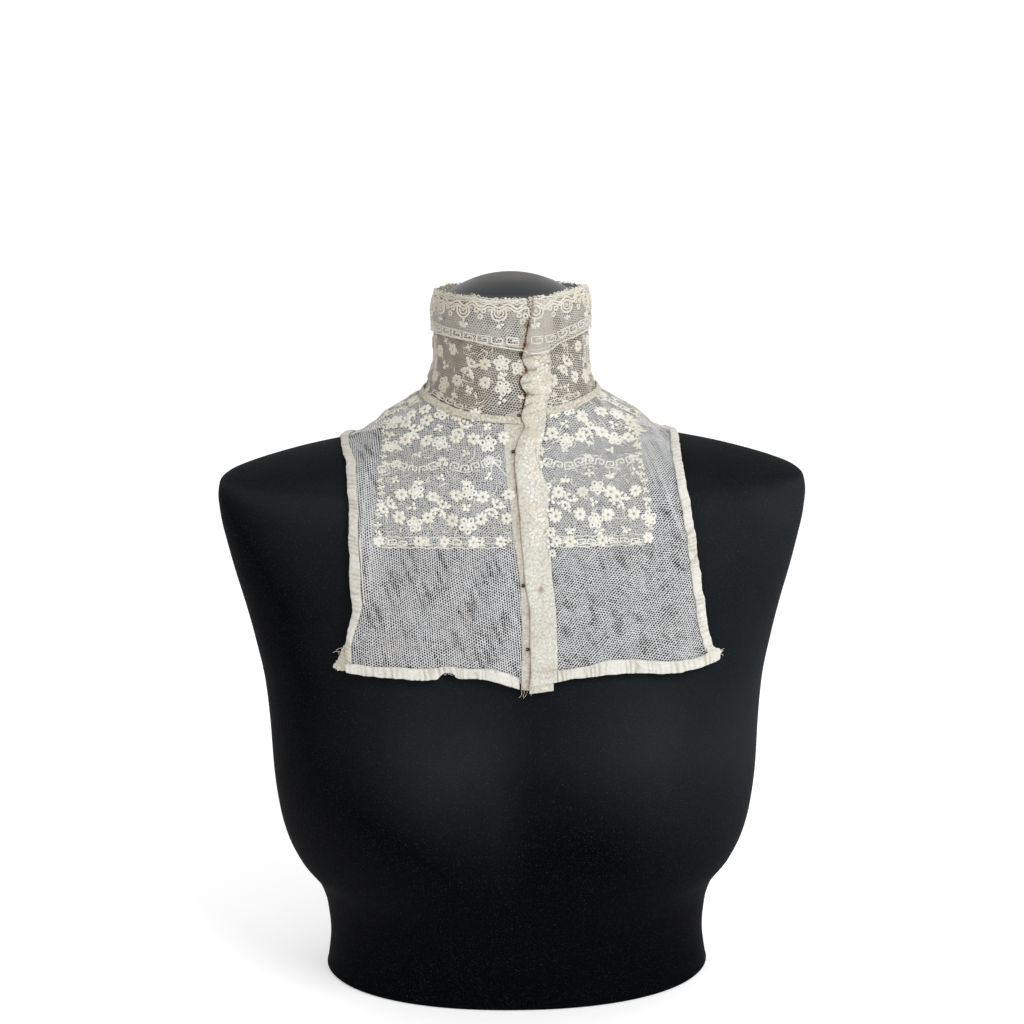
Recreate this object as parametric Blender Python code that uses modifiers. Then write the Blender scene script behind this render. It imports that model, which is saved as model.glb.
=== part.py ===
"""Tulle plastron with a high lace collar, hooked shut, on a limbless dress form.

Metres, +Z up.  The garment's front faces -Y.  The origin is the middle of the
form's flat base.  Every cloth piece is a thin wall that follows one surface,
the "cloth surface", which stands a few millimetres off the form and bridges
the hollow between the neck and the shoulders.
"""
import math

import bpy
import numpy as np

for old in list(bpy.data.objects):
    bpy.data.objects.remove(old, do_unlink=True)

# ----------------------------------------------------------------- sizes ----
MM = 0.001
GAP = 0.3 * MM             # clearance between two pieces that meet
WALL = 1.0 * MM            # tulle, lace and tape walls
SEAM = 2 * GAP             # clearance where the walls lean towards each other
LAY = WALL + 1.0 * MM      # level of a piece that lies on a panel
BIND_WALL = 1.7 * MM       # folded bindings are two layers thick
BIND_WIDTH = 7.4 * MM      # width of the side and hem bindings
TAPE_WIDTH = 5.0 * MM      # width of the neck tape
UNDERLAP_OUT = 6.0 * MM    # underlap that shows beside the opening
UNDERLAP_IN = 8.0 * MM     # underlap hidden below the overlap
RIM_Z = 0.4925             # top edge of the collar
HEM_Z = 0.2570             # lower edge of the panels' bindings
BACK_HEM_Z = 0.2640
YOKE_Z = 0.3385            # lower edge of the lace yoke, front
BACK_YOKE_Z = 0.3480
CUT_Z = 0.0205             # the form ends here, in a flat base
CENTRE_Y = 0.01006         # from the neck's axis to the middle of the part
# how far below the shoulder ridge the panels, the shoulder tape and the yoke stop
RIDGE = 0.02 * MM
RIDGE_TAPE = 0.10 * MM
RIDGE_YOKE = 0.50 * MM

CAP_RADIUS = 0.0455
CAP_TOP_Z = 0.5035
NECK_TOP_Z = 0.4700

# The form, ring by ring: height, half width, depth to the front, depth to the
# back, and roundness (2 is an ellipse, more is squarer, less is pointed).
FORM = """
height half_width front  back   roundness
0.000  0.1395     0.0915 0.0875 2.15
0.024  0.1328     0.0885 0.0825 2.15
0.047  0.1303     0.0880 0.0780 2.15
0.068  0.1320     0.0915 0.0785 2.18
0.086  0.1372     0.0965 0.0810 2.20
0.104  0.1500     0.1015 0.0850 2.25
0.122  0.1580     0.1045 0.0885 2.30
0.140  0.1622     0.1060 0.0915 2.35
0.170  0.1655     0.1070 0.0955 2.40
0.200  0.1668     0.1075 0.0985 2.40
0.230  0.1692     0.1070 0.1005 2.40
0.262  0.1752     0.1045 0.1015 2.45
0.285  0.1808     0.1010 0.1010 2.45
0.305  0.1864     0.0975 0.0995 2.45
0.325  0.1916     0.0935 0.0970 2.40
0.345  0.1960     0.0880 0.0935 2.30
0.357  0.1972     0.0835 0.0905 2.20
0.366  0.1958     0.0790 0.0880 2.10
0.3712 0.1905     0.0755 0.0860 2.02
0.3758 0.1800     0.0728 0.0840 1.96
0.3805 0.1655     0.0702 0.0820 1.90
0.3856 0.1465     0.0675 0.0795 1.84
0.3904 0.1225     0.0650 0.0768 1.80
0.3950 0.1000     0.0622 0.0738 1.78
0.4010 0.0805     0.0587 0.0700 1.80
0.4085 0.0655     0.0545 0.0650 1.86
0.4180 0.0550     0.0505 0.0590 1.95
0.4310 0.0500     0.0490 0.0530 2.00
0.4460 0.0485     0.0480 0.0495 2.00
0.4700 0.0485     0.0480 0.0485 2.00
"""

# How far the cloth surface stands off the form, by height.
EASE = """
height side   front  back
0.240  0.0045 0.0045 0.0050
0.262  0.0042 0.0042 0.0045
0.300  0.0036 0.0036 0.0040
0.345  0.0030 0.0032 0.0036
0.372  0.0028 0.0032 0.0034
0.3856 0.0028 0.0034 0.0034
0.3904 0.0030 0.0036 0.0036
0.3950 0.0066 0.0040 0.0040
0.4010 0.0120 0.0046 0.0044
0.4085 0.0168 0.0046 0.0046
0.4180 0.0128 0.0048 0.0044
0.4250 0.0062 0.0050 0.0042
0.4310 0.0046 0.0050 0.0040
0.4460 0.0036 0.0048 0.0040
0.4700 0.0031 0.0046 0.0042
0.4930 0.0033 0.0048 0.0044
"""

BUST = dict(x=0.082, z=0.166, rise=0.030, wide=0.047, tall=0.050)

# Opening edge (x of the overlap's edge) and the overlap's width, by height.
OPENING = """
height x      width
0.240  0.0100 0.0176
0.262  0.0110 0.0170
0.283  0.0106 0.0166
0.301  0.0104 0.0162
0.318  0.0078 0.0174
0.345  0.0056 0.0180
0.362  0.0048 0.0182
0.376  0.0034 0.0178
0.388  0.0023 0.0164
0.398  0.0034 0.0152
0.408  0.0056 0.0158
0.418  0.0070 0.0158
0.436  0.0084 0.0162
0.454  0.0080 0.0168
0.466  0.0100 0.0164
0.478  0.0124 0.0160
0.490  0.0140 0.0160
"""

# Outer edges of the panels, by height, to the shoulder ridge.
EDGES = """
height left    right  back_left back_right
0.248 -0.1160  0.1350 -0.1165   0.1185
0.258 -0.1120  0.1300 -0.1158   0.1178
0.268 -0.1080  0.1268 -0.1152   0.1170
0.290 -0.1056  0.1232 -0.1140   0.1152
0.315 -0.1044  0.1200 -0.1130   0.1136
0.340 -0.1046  0.1168 -0.1124   0.1126
0.365 -0.1070  0.1130 -0.1120   0.1120
0.385 -0.1100  0.1112 -0.1118   0.1118
0.398 -0.1118  0.1112 -0.1118   0.1112
"""

# Outer edges of the lace yoke, by the same rule.
YOKE_EDGES = """
height left    right  back_left back_right
0.335 -0.0892  0.0912 -0.0900   0.0900
0.365 -0.0876  0.0880 -0.0880   0.0880
0.390 -0.0846  0.0846 -0.0852   0.0852
0.412 -0.0840  0.0840 -0.0846   0.0846
"""

# Neck seam and lower edge of the top band, by angle round the neck
# (0 front, 90 side, 180 back).
NECK = """
angle seam   band
0     0.4145 0.4590
25    0.4155 0.4600
50    0.4180 0.4620
75    0.4220 0.4640
90    0.4250 0.4648
130   0.4290 0.4650
180   0.4300 0.4650
"""

# Soft folds of the panels: where each starts and ends, how wide and how deep.
FOLDS = """
x_top   z_top  x_low   z_low  wide   rise
-0.098  0.385  -0.094  0.268  0.0085  0.0010
-0.062  0.330  -0.066  0.262  0.0100  0.0009
-0.026  0.335  -0.021  0.262  0.0080  0.0008
 0.046  0.334   0.058  0.262  0.0100  0.0010
 0.082  0.332   0.101  0.262  0.0090  0.0011
 0.099  0.392   0.109  0.300  0.0075  0.0011
"""

HOOKS = """
height
0.4560
0.4165
0.3945
0.3150
0.2755
"""


# --------------------------------------------------------------- reading ----
def read(text):
    """A table with named columns, one row a line."""
    lines = [line.split() for line in text.strip().splitlines()]
    values = np.array([[float(v) for v in line] for line in lines[1:]])
    return {name: values[:, k] for k, name in enumerate(lines[0])}


def smooth(xs, ys, x):
    """Smooth curve through a table's rows that never overshoots them."""
    x = np.clip(np.asarray(x, float), xs[0], xs[-1])
    step = np.diff(xs)
    rise = np.diff(ys) / step
    slope = np.zeros(len(xs))
    slope[0], slope[-1] = rise[0], rise[-1]
    for k in range(1, len(xs) - 1):
        if rise[k - 1] * rise[k] > 0:
            w1 = 2 * step[k] + step[k - 1]
            w2 = step[k] + 2 * step[k - 1]
            slope[k] = (w1 + w2) / (w1 / rise[k - 1] + w2 / rise[k])
    k = np.clip(np.searchsorted(xs, x, side="right") - 1, 0, len(xs) - 2)
    t = (x - xs[k]) / step[k]
    return ((2 * t**3 - 3 * t**2 + 1) * ys[k] + (t**3 - 2 * t**2 + t) * step[k] * slope[k]
            + (-2 * t**3 + 3 * t**2) * ys[k + 1] + (t**3 - t**2) * step[k] * slope[k + 1])


form, ease, opening = read(FORM), read(EASE), read(OPENING)
edges, yoke_edges, neck = read(EDGES), read(YOKE_EDGES), read(NECK)
folds, hooks = read(FOLDS), read(HOOKS)


# -------------------------------------------------------------- surfaces ----
def form_section(z):
    at = form["height"]
    return [smooth(at, form[c], z) for c in ("half_width", "front", "back", "roundness")]


def cloth_section(z):
    a, f, b, n = form_section(z)
    at = ease["height"]
    return (a + smooth(at, ease["side"], z), f + smooth(at, ease["front"], z),
            b + smooth(at, ease["back"], z), n)


def bust(x, z):
    side = np.exp(-0.5 * ((np.abs(x) - BUST["x"]) / BUST["wide"]) ** 2)
    level = (z - BUST["z"]) / BUST["tall"]
    level = np.where(level < 0, level * 1.15, level)
    return BUST["rise"] * side * np.exp(-0.5 * level**2)


def fold_rise(x, z):
    total = 0.0
    for k in range(len(folds["x_top"])):
        zt, zl = folds["z_top"][k], folds["z_low"][k]
        t = np.clip((zt - z) / (zt - zl), 0.0, 1.0)
        mid = folds["x_top"][k] + (folds["x_low"][k] - folds["x_top"][k]) * t
        fade = np.sin(np.pi * np.clip((zt + 0.012 - z) / (zt - zl + 0.012), 0, 1) ** 1.4 / 2) ** 2
        total = total + folds["rise"][k] * fade * np.exp(-0.5 * ((x - mid) / folds["wide"][k]) ** 2)
    return total


def depth(x, z, back=False):
    """Half depth of the section at height z, with the bust and the folds."""
    a, f, b, n = cloth_section(z)
    return b + 0.0 * x if back else f + bust(x, z) + fold_rise(x, z)


def cloth_y(x, z, back=False):
    """Depth of the cloth surface at width x and height z."""
    a, f, b, n = cloth_section(z)
    curve = np.clip(1 - np.abs(x / a) ** n, 0, 1) ** (1 / n)
    return depth(x, z, back) * curve * (1 if back else -1)


def cloth_polar(angle, z):
    """Point of the cloth surface at an angle round the neck (degrees, 0 front)."""
    a, f, b, n = cloth_section(z)
    s, c = np.sin(np.radians(angle)), np.cos(np.radians(angle))
    r = (np.abs(s / a) ** n + np.abs(c / np.where(c > 0, f, b)) ** n) ** (-1 / n)
    return r * s, -r * c


def outward(points):
    """Unit normals of the cloth surface at its own points."""
    x, y, z = points[..., 0], points[..., 1], points[..., 2]

    def level(x, y, z):
        a, f, b, n = cloth_section(z)
        d = np.where(y > 0, depth(x, z, True), depth(x, z))
        return np.abs(x / a) ** n + np.abs(y / d) ** n

    e = 2e-5
    g = np.stack([level(x + e, y, z) - level(x - e, y, z),
                  level(x, y + e, z) - level(x, y - e, z),
                  level(x, y, z + e) - level(x, y, z - e)], axis=-1)
    return g / np.linalg.norm(g, axis=-1, keepdims=True)


def seam_z(angle, column="seam"):
    angle = np.abs((np.asarray(angle, float) + 180) % 360 - 180)
    return smooth(neck["angle"], neck[column], angle)


def tape_drop(angle):
    """The tape's height: less at the sides, where the surface leans outwards."""
    return TAPE_WIDTH * (1 - 0.34 * np.abs(np.sin(np.radians(angle))) ** 2)


def find_tops(back):
    """Where the column of cloth at each width ends: neck tape or shoulder ridge."""
    x = np.arange(0.0, 0.1401, 0.0005)
    low, high = np.full(x.shape, 0.375), np.full(x.shape, 0.4320)
    for _ in range(36):
        z = 0.5 * (low + high)
        y = cloth_y(x, z, back)
        over = cloth_section(z)[0] <= x
        angle = np.degrees(np.arctan2(x, -y))
        over = over | (z > seam_z(angle) - tape_drop(angle) - 2 * SEAM)
        high, low = np.where(over, z, high), np.where(over, low, z)
    return x, low


TOPS = {False: find_tops(False), True: find_tops(True)}


def top_z(x, back=False):
    return np.interp(np.abs(x), *TOPS[back])


def net(inner, outer, cols, rows, low, back=False, short=0.0):
    """Points of the cloth surface: rows from height low up to the top, and
    columns from the inner to the outer edge, which are both given by height.
    The rows close up towards the shoulder ridge, where the surface turns over;
    short is how far below the ridge they stop."""
    s = 1 - np.linspace(0, 1, rows + 1)[:, None]
    u = np.linspace(0, 1, cols + 1)[None, :]
    z = low + (0.40 - low) * (1 - s ** 1.7) + 0 * u
    for _ in range(12):
        x = inner(z) * (1 - u) + outer(z) * u
        top = top_z(x, back) - short
        z = top - (top - low) * s ** 1.7
    return np.stack([x, cloth_y(x, z, back), z], axis=-1)


# --------------------------------------------------------------- meshing ----
home = bpy.data.collections.new("tulle_plastron_on_dress_form")
bpy.context.scene.collection.children.link(home)


def material(name, colour, roughness, metallic=0.0):
    mat = bpy.data.materials.new(name)
    mat.use_nodes = True
    shader = mat.node_tree.nodes["Principled BSDF"]
    shader.inputs["Base Color"].default_value = (*colour, 1.0)
    shader.inputs["Roughness"].default_value = roughness
    shader.inputs["Metallic"].default_value = metallic
    return mat


def cloth(name, points, mat, wall=WALL, level=0.0):
    """A wall over a net of points: rows run up, columns run left to right as
    seen from outside."""
    points = points + outward(points) * level
    rows, cols = points.shape[:2]
    faces = [(r * cols + c, r * cols + c + 1, (r + 1) * cols + c + 1, (r + 1) * cols + c)
             for r in range(rows - 1) for c in range(cols - 1)]
    mesh = bpy.data.meshes.new(name)
    mesh.from_pydata(points.reshape(-1, 3).tolist(), [], faces)
    mesh.materials.append(mat)
    mesh.shade_smooth()
    ob = bpy.data.objects.new(name, mesh)
    home.objects.link(ob)
    skin = ob.modifiers.new("wall", "SOLIDIFY")
    skin.thickness = wall
    skin.offset = 1.0
    return ob


def loft(name, rings, mat):
    """A closed body through rings of equal point count, with flat ends."""
    count = len(rings[0])
    mesh = bpy.data.meshes.new(name)
    points = [p for ring in rings for p in ring]
    faces = [(r * count + c, r * count + (c + 1) % count,
              (r + 1) * count + (c + 1) % count, (r + 1) * count + c)
             for r in range(len(rings) - 1) for c in range(count)]
    faces.append(tuple(reversed(range(count))))
    faces.append(tuple((len(rings) - 1) * count + c for c in range(count)))
    mesh.from_pydata(points, [], faces)
    mesh.materials.append(mat)
    mesh.shade_smooth()
    mesh.set_sharp_from_angle(angle=math.radians(50))
    ob = bpy.data.objects.new(name, mesh)
    home.objects.link(ob)
    return ob


tulle = material("tulle", (0.52, 0.52, 0.50), 0.85)
lace = material("lace", (0.66, 0.64, 0.57), 0.85)
tape = material("cotton_tape", (0.76, 0.73, 0.63), 0.9)
jersey = material("black_jersey", (0.012, 0.014, 0.018), 0.75)
cap_plastic = material("neck_cap", (0.07, 0.07, 0.068), 0.35)
hook_metal = material("hook_wire", (0.05, 0.045, 0.04), 0.45, 0.9)

# ------------------------------------------------------------------ form ----
RING = 42
heights = [CUT_Z, 0.029, 0.039, 0.052, 0.066, 0.080, 0.094, 0.108, 0.124, 0.142, 0.160,
           0.178, 0.198, 0.222, 0.246, 0.270, 0.294, 0.318, 0.338, 0.354, 0.364, 0.3725,
           0.379, 0.385, 0.3905, 0.396, 0.402, 0.410, 0.420, 0.434, 0.452, NECK_TOP_Z]


def form_ring(z):
    a, f, b, n = form_section(z)
    ring = []
    for k in range(RING):
        t = 2 * math.pi * k / RING
        c, s = math.cos(t), math.sin(t)
        x = a * math.copysign(abs(c) ** (2 / n), c)
        y = (b if s > 0 else f) * math.copysign(abs(s) ** (2 / n), s)
        if s < 0:
            y -= float(bust(x, z)) * abs(s) ** (2 / n)
        ring.append((float(x), float(y), z))
    return ring


loft("form_torso", [form_ring(z) for z in heights], jersey)

# Neck cap: a turned plug with a domed top; the profile runs down its outside.
dome = (CAP_RADIUS**2 + 0.0125**2) / (2 * 0.0125)
profile = [(0.0, CAP_TOP_Z)]
for k in range(1, 9):
    r = (CAP_RADIUS - 0.003) * k / 8
    profile.append((r, CAP_TOP_Z - dome + math.sqrt(dome**2 - r**2)))
lip = profile[-1][1]
profile += [(CAP_RADIUS - 0.0008, lip - 0.0020), (CAP_RADIUS, lip - 0.0050),
            (CAP_RADIUS, NECK_TOP_Z + 0.0040), (CAP_RADIUS - 0.0015, NECK_TOP_Z + GAP),
            (0.0, NECK_TOP_Z + GAP)]
mesh = bpy.data.meshes.new("form_neck_cap")
mesh.from_pydata([(r, 0.0, z) for r, z in profile],
                 [(k, k + 1) for k in range(len(profile) - 1)], [])
mesh.materials.append(cap_plastic)
cap = bpy.data.objects.new("form_neck_cap", mesh)
home.objects.link(cap)
turn = cap.modifiers.new("turn", "SCREW")
turn.axis = "Z"
turn.angle = 2 * math.pi
turn.screw_offset = 0.0
turn.steps = turn.render_steps = 26
turn.use_merge_vertices = True
turn.merge_threshold = 0.00005
turn.use_smooth_shade = True


# ---------------------------------------------------------------- panels ----
def open_x(z):
    return smooth(opening["height"], opening["x"], z)


def open_width(z):
    return smooth(opening["height"], opening["width"], z)


def edge(table, side, inset=0.0):
    """The x of an edge as a function of height."""
    return lambda z: smooth(table["height"], table[side], z) + inset


def beside_opening(shift, widths=0.0):
    return lambda z: open_x(z) + open_width(z) * widths + shift


INSET = BIND_WIDTH + SEAM
left_net = net(edge(edges, "left", INSET), beside_opening(-UNDERLAP_OUT - SEAM), 13, 14,
               HEM_Z + INSET, short=RIDGE)
cloth("front_panel_left", left_net, tulle)
right_net = net(beside_opening(UNDERLAP_IN + SEAM), edge(edges, "right", -INSET), 12, 14,
                HEM_Z + INSET, short=RIDGE)
cloth("front_panel_right", right_net, tulle)
back_net = net(edge(edges, "back_right", -INSET), edge(edges, "back_left", INSET), 22, 14,
               BACK_HEM_Z + INSET, True, short=RIDGE)
cloth("back_panel", back_net, tulle)

# ------------------------------------------------------------- lace yoke ----
cloth("lace_yoke_front_left",
      net(edge(yoke_edges, "left"), beside_opening(-UNDERLAP_OUT - SEAM), 11, 11, YOKE_Z,
          short=RIDGE_YOKE), lace, level=LAY)
cloth("lace_yoke_front_right",
      net(beside_opening(SEAM, 1.0), edge(yoke_edges, "right"), 10, 11, YOKE_Z,
          short=RIDGE_YOKE), lace, level=LAY)
cloth("lace_yoke_back",
      net(edge(yoke_edges, "back_right"), edge(yoke_edges, "back_left"), 20, 11, BACK_YOKE_Z,
          True, short=RIDGE_YOKE), lace, level=LAY)


# ---------------------------------------------------------------- collar ----
def ring_net(start, stop, cols, rows, low, high):
    """Round the neck between two edges on the front, whose x is given by
    height, from low(angle) up to high(angle)."""
    u = np.linspace(0, 1, cols + 1)[None, :]
    v = np.linspace(0, 1, rows + 1)[:, None]
    z = 0.45 + 0 * u + 0 * v
    for _ in range(8):
        first = np.degrees(np.arctan2(start(z), -cloth_y(start(z), z)))
        last = 360 + np.degrees(np.arctan2(stop(z), -cloth_y(stop(z), z)))
        angle = first + (last - first) * u
        z = low(angle) * (1 - v) + high(angle) * v
    x, y = cloth_polar(angle, z)
    return np.stack([x, y, z], axis=-1)


def rim_z(angle):
    return RIM_Z + 0.0 * angle


cloth("collar_stand",
      ring_net(beside_opening(UNDERLAP_IN + SEAM), beside_opening(-UNDERLAP_OUT - SEAM), 40, 5,
               lambda t: seam_z(t) + SEAM, rim_z), lace)
cloth("collar_top_band",
      ring_net(beside_opening(SEAM, 1.0), beside_opening(-SEAM), 40, 2,
               lambda t: seam_z(t, "band"), lambda t: rim_z(t) + 0.0006), lace, level=LAY)
cloth("neck_tape",
      ring_net(beside_opening(SEAM, 1.0), beside_opening(-UNDERLAP_OUT - SEAM), 40, 2,
               lambda t: seam_z(t) - tape_drop(t), lambda t: seam_z(t)), tape, wall=BIND_WALL)


# --------------------------------------------------------------- opening ----
def strip_up(left, right, low, high, rows, cols=2):
    z = np.linspace(low, high, rows + 1)[:, None]
    u = np.linspace(0, 1, cols + 1)[None, :]
    x = left(z) * (1 - u) + right(z) * u
    z = z + 0 * u
    return np.stack([x, cloth_y(x, z), z], axis=-1)


cloth("placket_underlap",
      strip_up(beside_opening(-UNDERLAP_OUT), beside_opening(UNDERLAP_IN), HEM_Z - 0.001,
               RIM_Z - 0.004, 32), tape)
cloth("placket_overlap",
      strip_up(beside_opening(0.0), beside_opening(0.0, 1.0), HEM_Z - 0.008, RIM_Z - 0.003, 34),
      tape, level=LAY)


# -------------------------------------------------------------- bindings ----
def side_net(side):
    """From the front hem over the shoulder ridge to the back hem."""
    into = BIND_WIDTH if side == "left" else -BIND_WIDTH
    front = net(edge(edges, side), edge(edges, side, into), 2, 18, HEM_Z - 0.0006)
    back = net(edge(edges, "back_" + side), edge(edges, "back_" + side, into), 2, 16,
               BACK_HEM_Z - 0.0006, True)
    points = np.concatenate([front, back[-2::-1]])
    return points if side == "left" else points[:, ::-1]


cloth("side_binding_left", side_net("left"), tape, wall=BIND_WALL)
cloth("side_binding_right", side_net("right"), tape, wall=BIND_WALL)


def hem_net(left, right, cols, low, back=False):
    z = np.array([low, low + BIND_WIDTH / 2, low + BIND_WIDTH])[:, None]
    u = np.linspace(0, 1, cols + 1)[None, :]
    x = left(z) * (1 - u) + right(z) * u
    z = z + 0 * u
    return np.stack([x, cloth_y(x, z, back), z], axis=-1)


cloth("hem_binding_front_left",
      hem_net(edge(edges, "left", INSET), beside_opening(-UNDERLAP_OUT - SEAM), 14, HEM_Z),
      tape, wall=BIND_WALL)
cloth("hem_binding_front_right",
      hem_net(beside_opening(SEAM, 1.0), edge(edges, "right", -INSET), 12, HEM_Z),
      tape, wall=BIND_WALL)
cloth("hem_binding_back",
      hem_net(edge(edges, "back_right", -INSET), edge(edges, "back_left", INSET), 22,
              BACK_HEM_Z, True), tape, wall=BIND_WALL)


# -------------------------------------------------------- shoulder tapes ----
def shoulder_net(sign, cols=5):
    """Along the ridge from beside the neck tape to beside the side binding."""
    near, far = 0.0705 * sign, 0.1032 * sign
    x = np.linspace(near, far, cols + 1)[None, :]
    points = []
    for k in range(-3, 4):
        z = top_z(x) - RIDGE_TAPE * abs(k / 3) ** 1.8
        points.append(np.stack([x, cloth_y(x, z, k > 0), z], axis=-1))
    points = np.concatenate(points)
    return points if sign > 0 else points[:, ::-1]


cloth("shoulder_tape_left", shoulder_net(-1), tape, level=LAY)
cloth("shoulder_tape_right", shoulder_net(1), tape, level=LAY)

# ----------------------------------------------------------------- hooks ----
# A bent wire: across and up from the overlap's edge, in millimetres.
HOOK_PATH = [(-3.1, 1.5), (-1.6, 1.7), (-0.7, 1.1), (-0.5, 0.0), (-0.7, -1.1), (-1.6, -1.7),
             (-3.1, -1.5)]
WIRE = 0.35 * MM
for number, z in enumerate(hooks["height"], 1):
    wire = bpy.data.curves.new("hook_%d" % number, "CURVE")
    wire.dimensions = "3D"
    wire.bevel_depth = WIRE
    wire.bevel_resolution = 2
    wire.use_fill_caps = True
    line = wire.splines.new("POLY")
    line.points.add(len(HOOK_PATH) - 1)
    for k, (dx, dz) in enumerate(HOOK_PATH):
        x, high = float(open_x(z)) - SEAM + dx * MM, z + dz * MM
        point = np.array([x, float(cloth_y(x, high)), high])
        point = point + outward(point) * (WALL + WIRE + 2 * GAP)
        line.points[k].co = (*point.tolist(), 1.0)
    wire.materials.append(hook_metal)
    home.objects.link(bpy.data.objects.new("hook_%d" % number, wire))

# The tables count depth from the neck's axis and height from below the cut.  The
# part is placed with the middle of its box over the origin, on its cut face.
for ob in home.objects:
    ob.location = (0.0, CENTRE_Y, -CUT_Z)
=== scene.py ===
"""Looks of the tulle plastron with a high lace collar, on its limbless dress form.

Metres, +Z up, the garment's front faces -Y.  The cloth pieces are drawn flat, as
they were cut, and laid over the same cloth surface as the solids they stand for.
"""

import math

import bpy
import numpy as np
from mathutils import Euler, Matrix, Vector


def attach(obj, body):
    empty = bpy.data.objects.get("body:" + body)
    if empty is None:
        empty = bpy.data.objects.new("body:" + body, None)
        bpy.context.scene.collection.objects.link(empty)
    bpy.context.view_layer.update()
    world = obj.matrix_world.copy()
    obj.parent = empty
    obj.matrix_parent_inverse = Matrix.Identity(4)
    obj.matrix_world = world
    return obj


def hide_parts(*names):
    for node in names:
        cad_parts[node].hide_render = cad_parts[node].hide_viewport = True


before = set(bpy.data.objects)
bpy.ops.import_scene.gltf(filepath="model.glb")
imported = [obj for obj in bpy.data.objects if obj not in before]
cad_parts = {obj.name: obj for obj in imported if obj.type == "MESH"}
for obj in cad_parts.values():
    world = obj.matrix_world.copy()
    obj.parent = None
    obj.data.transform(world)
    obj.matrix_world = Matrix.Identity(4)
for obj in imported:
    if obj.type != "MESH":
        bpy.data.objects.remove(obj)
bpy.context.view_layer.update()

# ----------------------------------------------------------------- sizes ----
MM = 0.001
GAP = 0.3 * MM             # clearance between two pieces that meet
WALL = 1.0 * MM            # tulle, lace and tape walls
SEAM = 2 * GAP             # clearance where the walls lean towards each other
LAY = WALL + 1.0 * MM      # level of a piece that lies on a panel
BIND_WALL = 1.7 * MM       # folded bindings are two layers thick
BIND_WIDTH = 7.4 * MM      # width of the side and hem bindings
TAPE_WIDTH = 5.0 * MM      # width of the neck tape
UNDERLAP_OUT = 6.0 * MM    # underlap that shows beside the opening
UNDERLAP_IN = 8.0 * MM     # underlap hidden below the overlap
RIM_Z = 0.4925             # top edge of the collar
HEM_Z = 0.2570             # lower edge of the panels' bindings
BACK_HEM_Z = 0.2640
YOKE_Z = 0.3385            # lower edge of the lace yoke, front
BACK_YOKE_Z = 0.3480
CUT_Z = 0.0205             # the form ends here, in a flat base
CENTRE_Y = 0.01006         # from the neck's axis to the middle of the part
# how far below the shoulder ridge the panels, the shoulder tape and the yoke stop
RIDGE = 0.02 * MM
RIDGE_TAPE = 0.10 * MM
RIDGE_YOKE = 0.50 * MM

CAP_RADIUS = 0.0455
CAP_TOP_Z = 0.5035
NECK_TOP_Z = 0.4700

# The form, ring by ring: height, half width, depth to the front, depth to the
# back, and roundness (2 is an ellipse, more is squarer, less is pointed).
FORM = """
height half_width front  back   roundness
0.000  0.1395     0.0915 0.0875 2.15
0.024  0.1328     0.0885 0.0825 2.15
0.047  0.1303     0.0880 0.0780 2.15
0.068  0.1320     0.0915 0.0785 2.18
0.086  0.1372     0.0965 0.0810 2.20
0.104  0.1500     0.1015 0.0850 2.25
0.122  0.1580     0.1045 0.0885 2.30
0.140  0.1622     0.1060 0.0915 2.35
0.170  0.1655     0.1070 0.0955 2.40
0.200  0.1668     0.1075 0.0985 2.40
0.230  0.1692     0.1070 0.1005 2.40
0.262  0.1752     0.1045 0.1015 2.45
0.285  0.1808     0.1010 0.1010 2.45
0.305  0.1864     0.0975 0.0995 2.45
0.325  0.1916     0.0935 0.0970 2.40
0.345  0.1960     0.0880 0.0935 2.30
0.357  0.1972     0.0835 0.0905 2.20
0.366  0.1958     0.0790 0.0880 2.10
0.3712 0.1905     0.0755 0.0860 2.02
0.3758 0.1800     0.0728 0.0840 1.96
0.3805 0.1655     0.0702 0.0820 1.90
0.3856 0.1465     0.0675 0.0795 1.84
0.3904 0.1225     0.0650 0.0768 1.80
0.3950 0.1000     0.0622 0.0738 1.78
0.4010 0.0805     0.0587 0.0700 1.80
0.4085 0.0655     0.0545 0.0650 1.86
0.4180 0.0550     0.0505 0.0590 1.95
0.4310 0.0500     0.0490 0.0530 2.00
0.4460 0.0485     0.0480 0.0495 2.00
0.4700 0.0485     0.0480 0.0485 2.00
"""

# How far the cloth surface stands off the form, by height.
EASE = """
height side   front  back
0.240  0.0045 0.0045 0.0050
0.262  0.0042 0.0042 0.0045
0.300  0.0036 0.0036 0.0040
0.345  0.0030 0.0032 0.0036
0.372  0.0028 0.0032 0.0034
0.3856 0.0028 0.0034 0.0034
0.3904 0.0030 0.0036 0.0036
0.3950 0.0066 0.0040 0.0040
0.4010 0.0120 0.0046 0.0044
0.4085 0.0168 0.0046 0.0046
0.4180 0.0128 0.0048 0.0044
0.4250 0.0062 0.0050 0.0042
0.4310 0.0046 0.0050 0.0040
0.4460 0.0036 0.0048 0.0040
0.4700 0.0031 0.0046 0.0042
0.4930 0.0033 0.0048 0.0044
"""

BUST = dict(x=0.082, z=0.166, rise=0.030, wide=0.047, tall=0.050)

# Opening edge (x of the overlap's edge) and the overlap's width, by height.
OPENING = """
height x      width
0.240  0.0100 0.0176
0.262  0.0110 0.0170
0.283  0.0106 0.0166
0.301  0.0104 0.0162
0.318  0.0078 0.0174
0.345  0.0056 0.0180
0.362  0.0048 0.0182
0.376  0.0034 0.0178
0.388  0.0023 0.0164
0.398  0.0034 0.0152
0.408  0.0056 0.0158
0.418  0.0070 0.0158
0.436  0.0084 0.0162
0.454  0.0080 0.0168
0.466  0.0100 0.0164
0.478  0.0124 0.0160
0.490  0.0140 0.0160
"""

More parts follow.
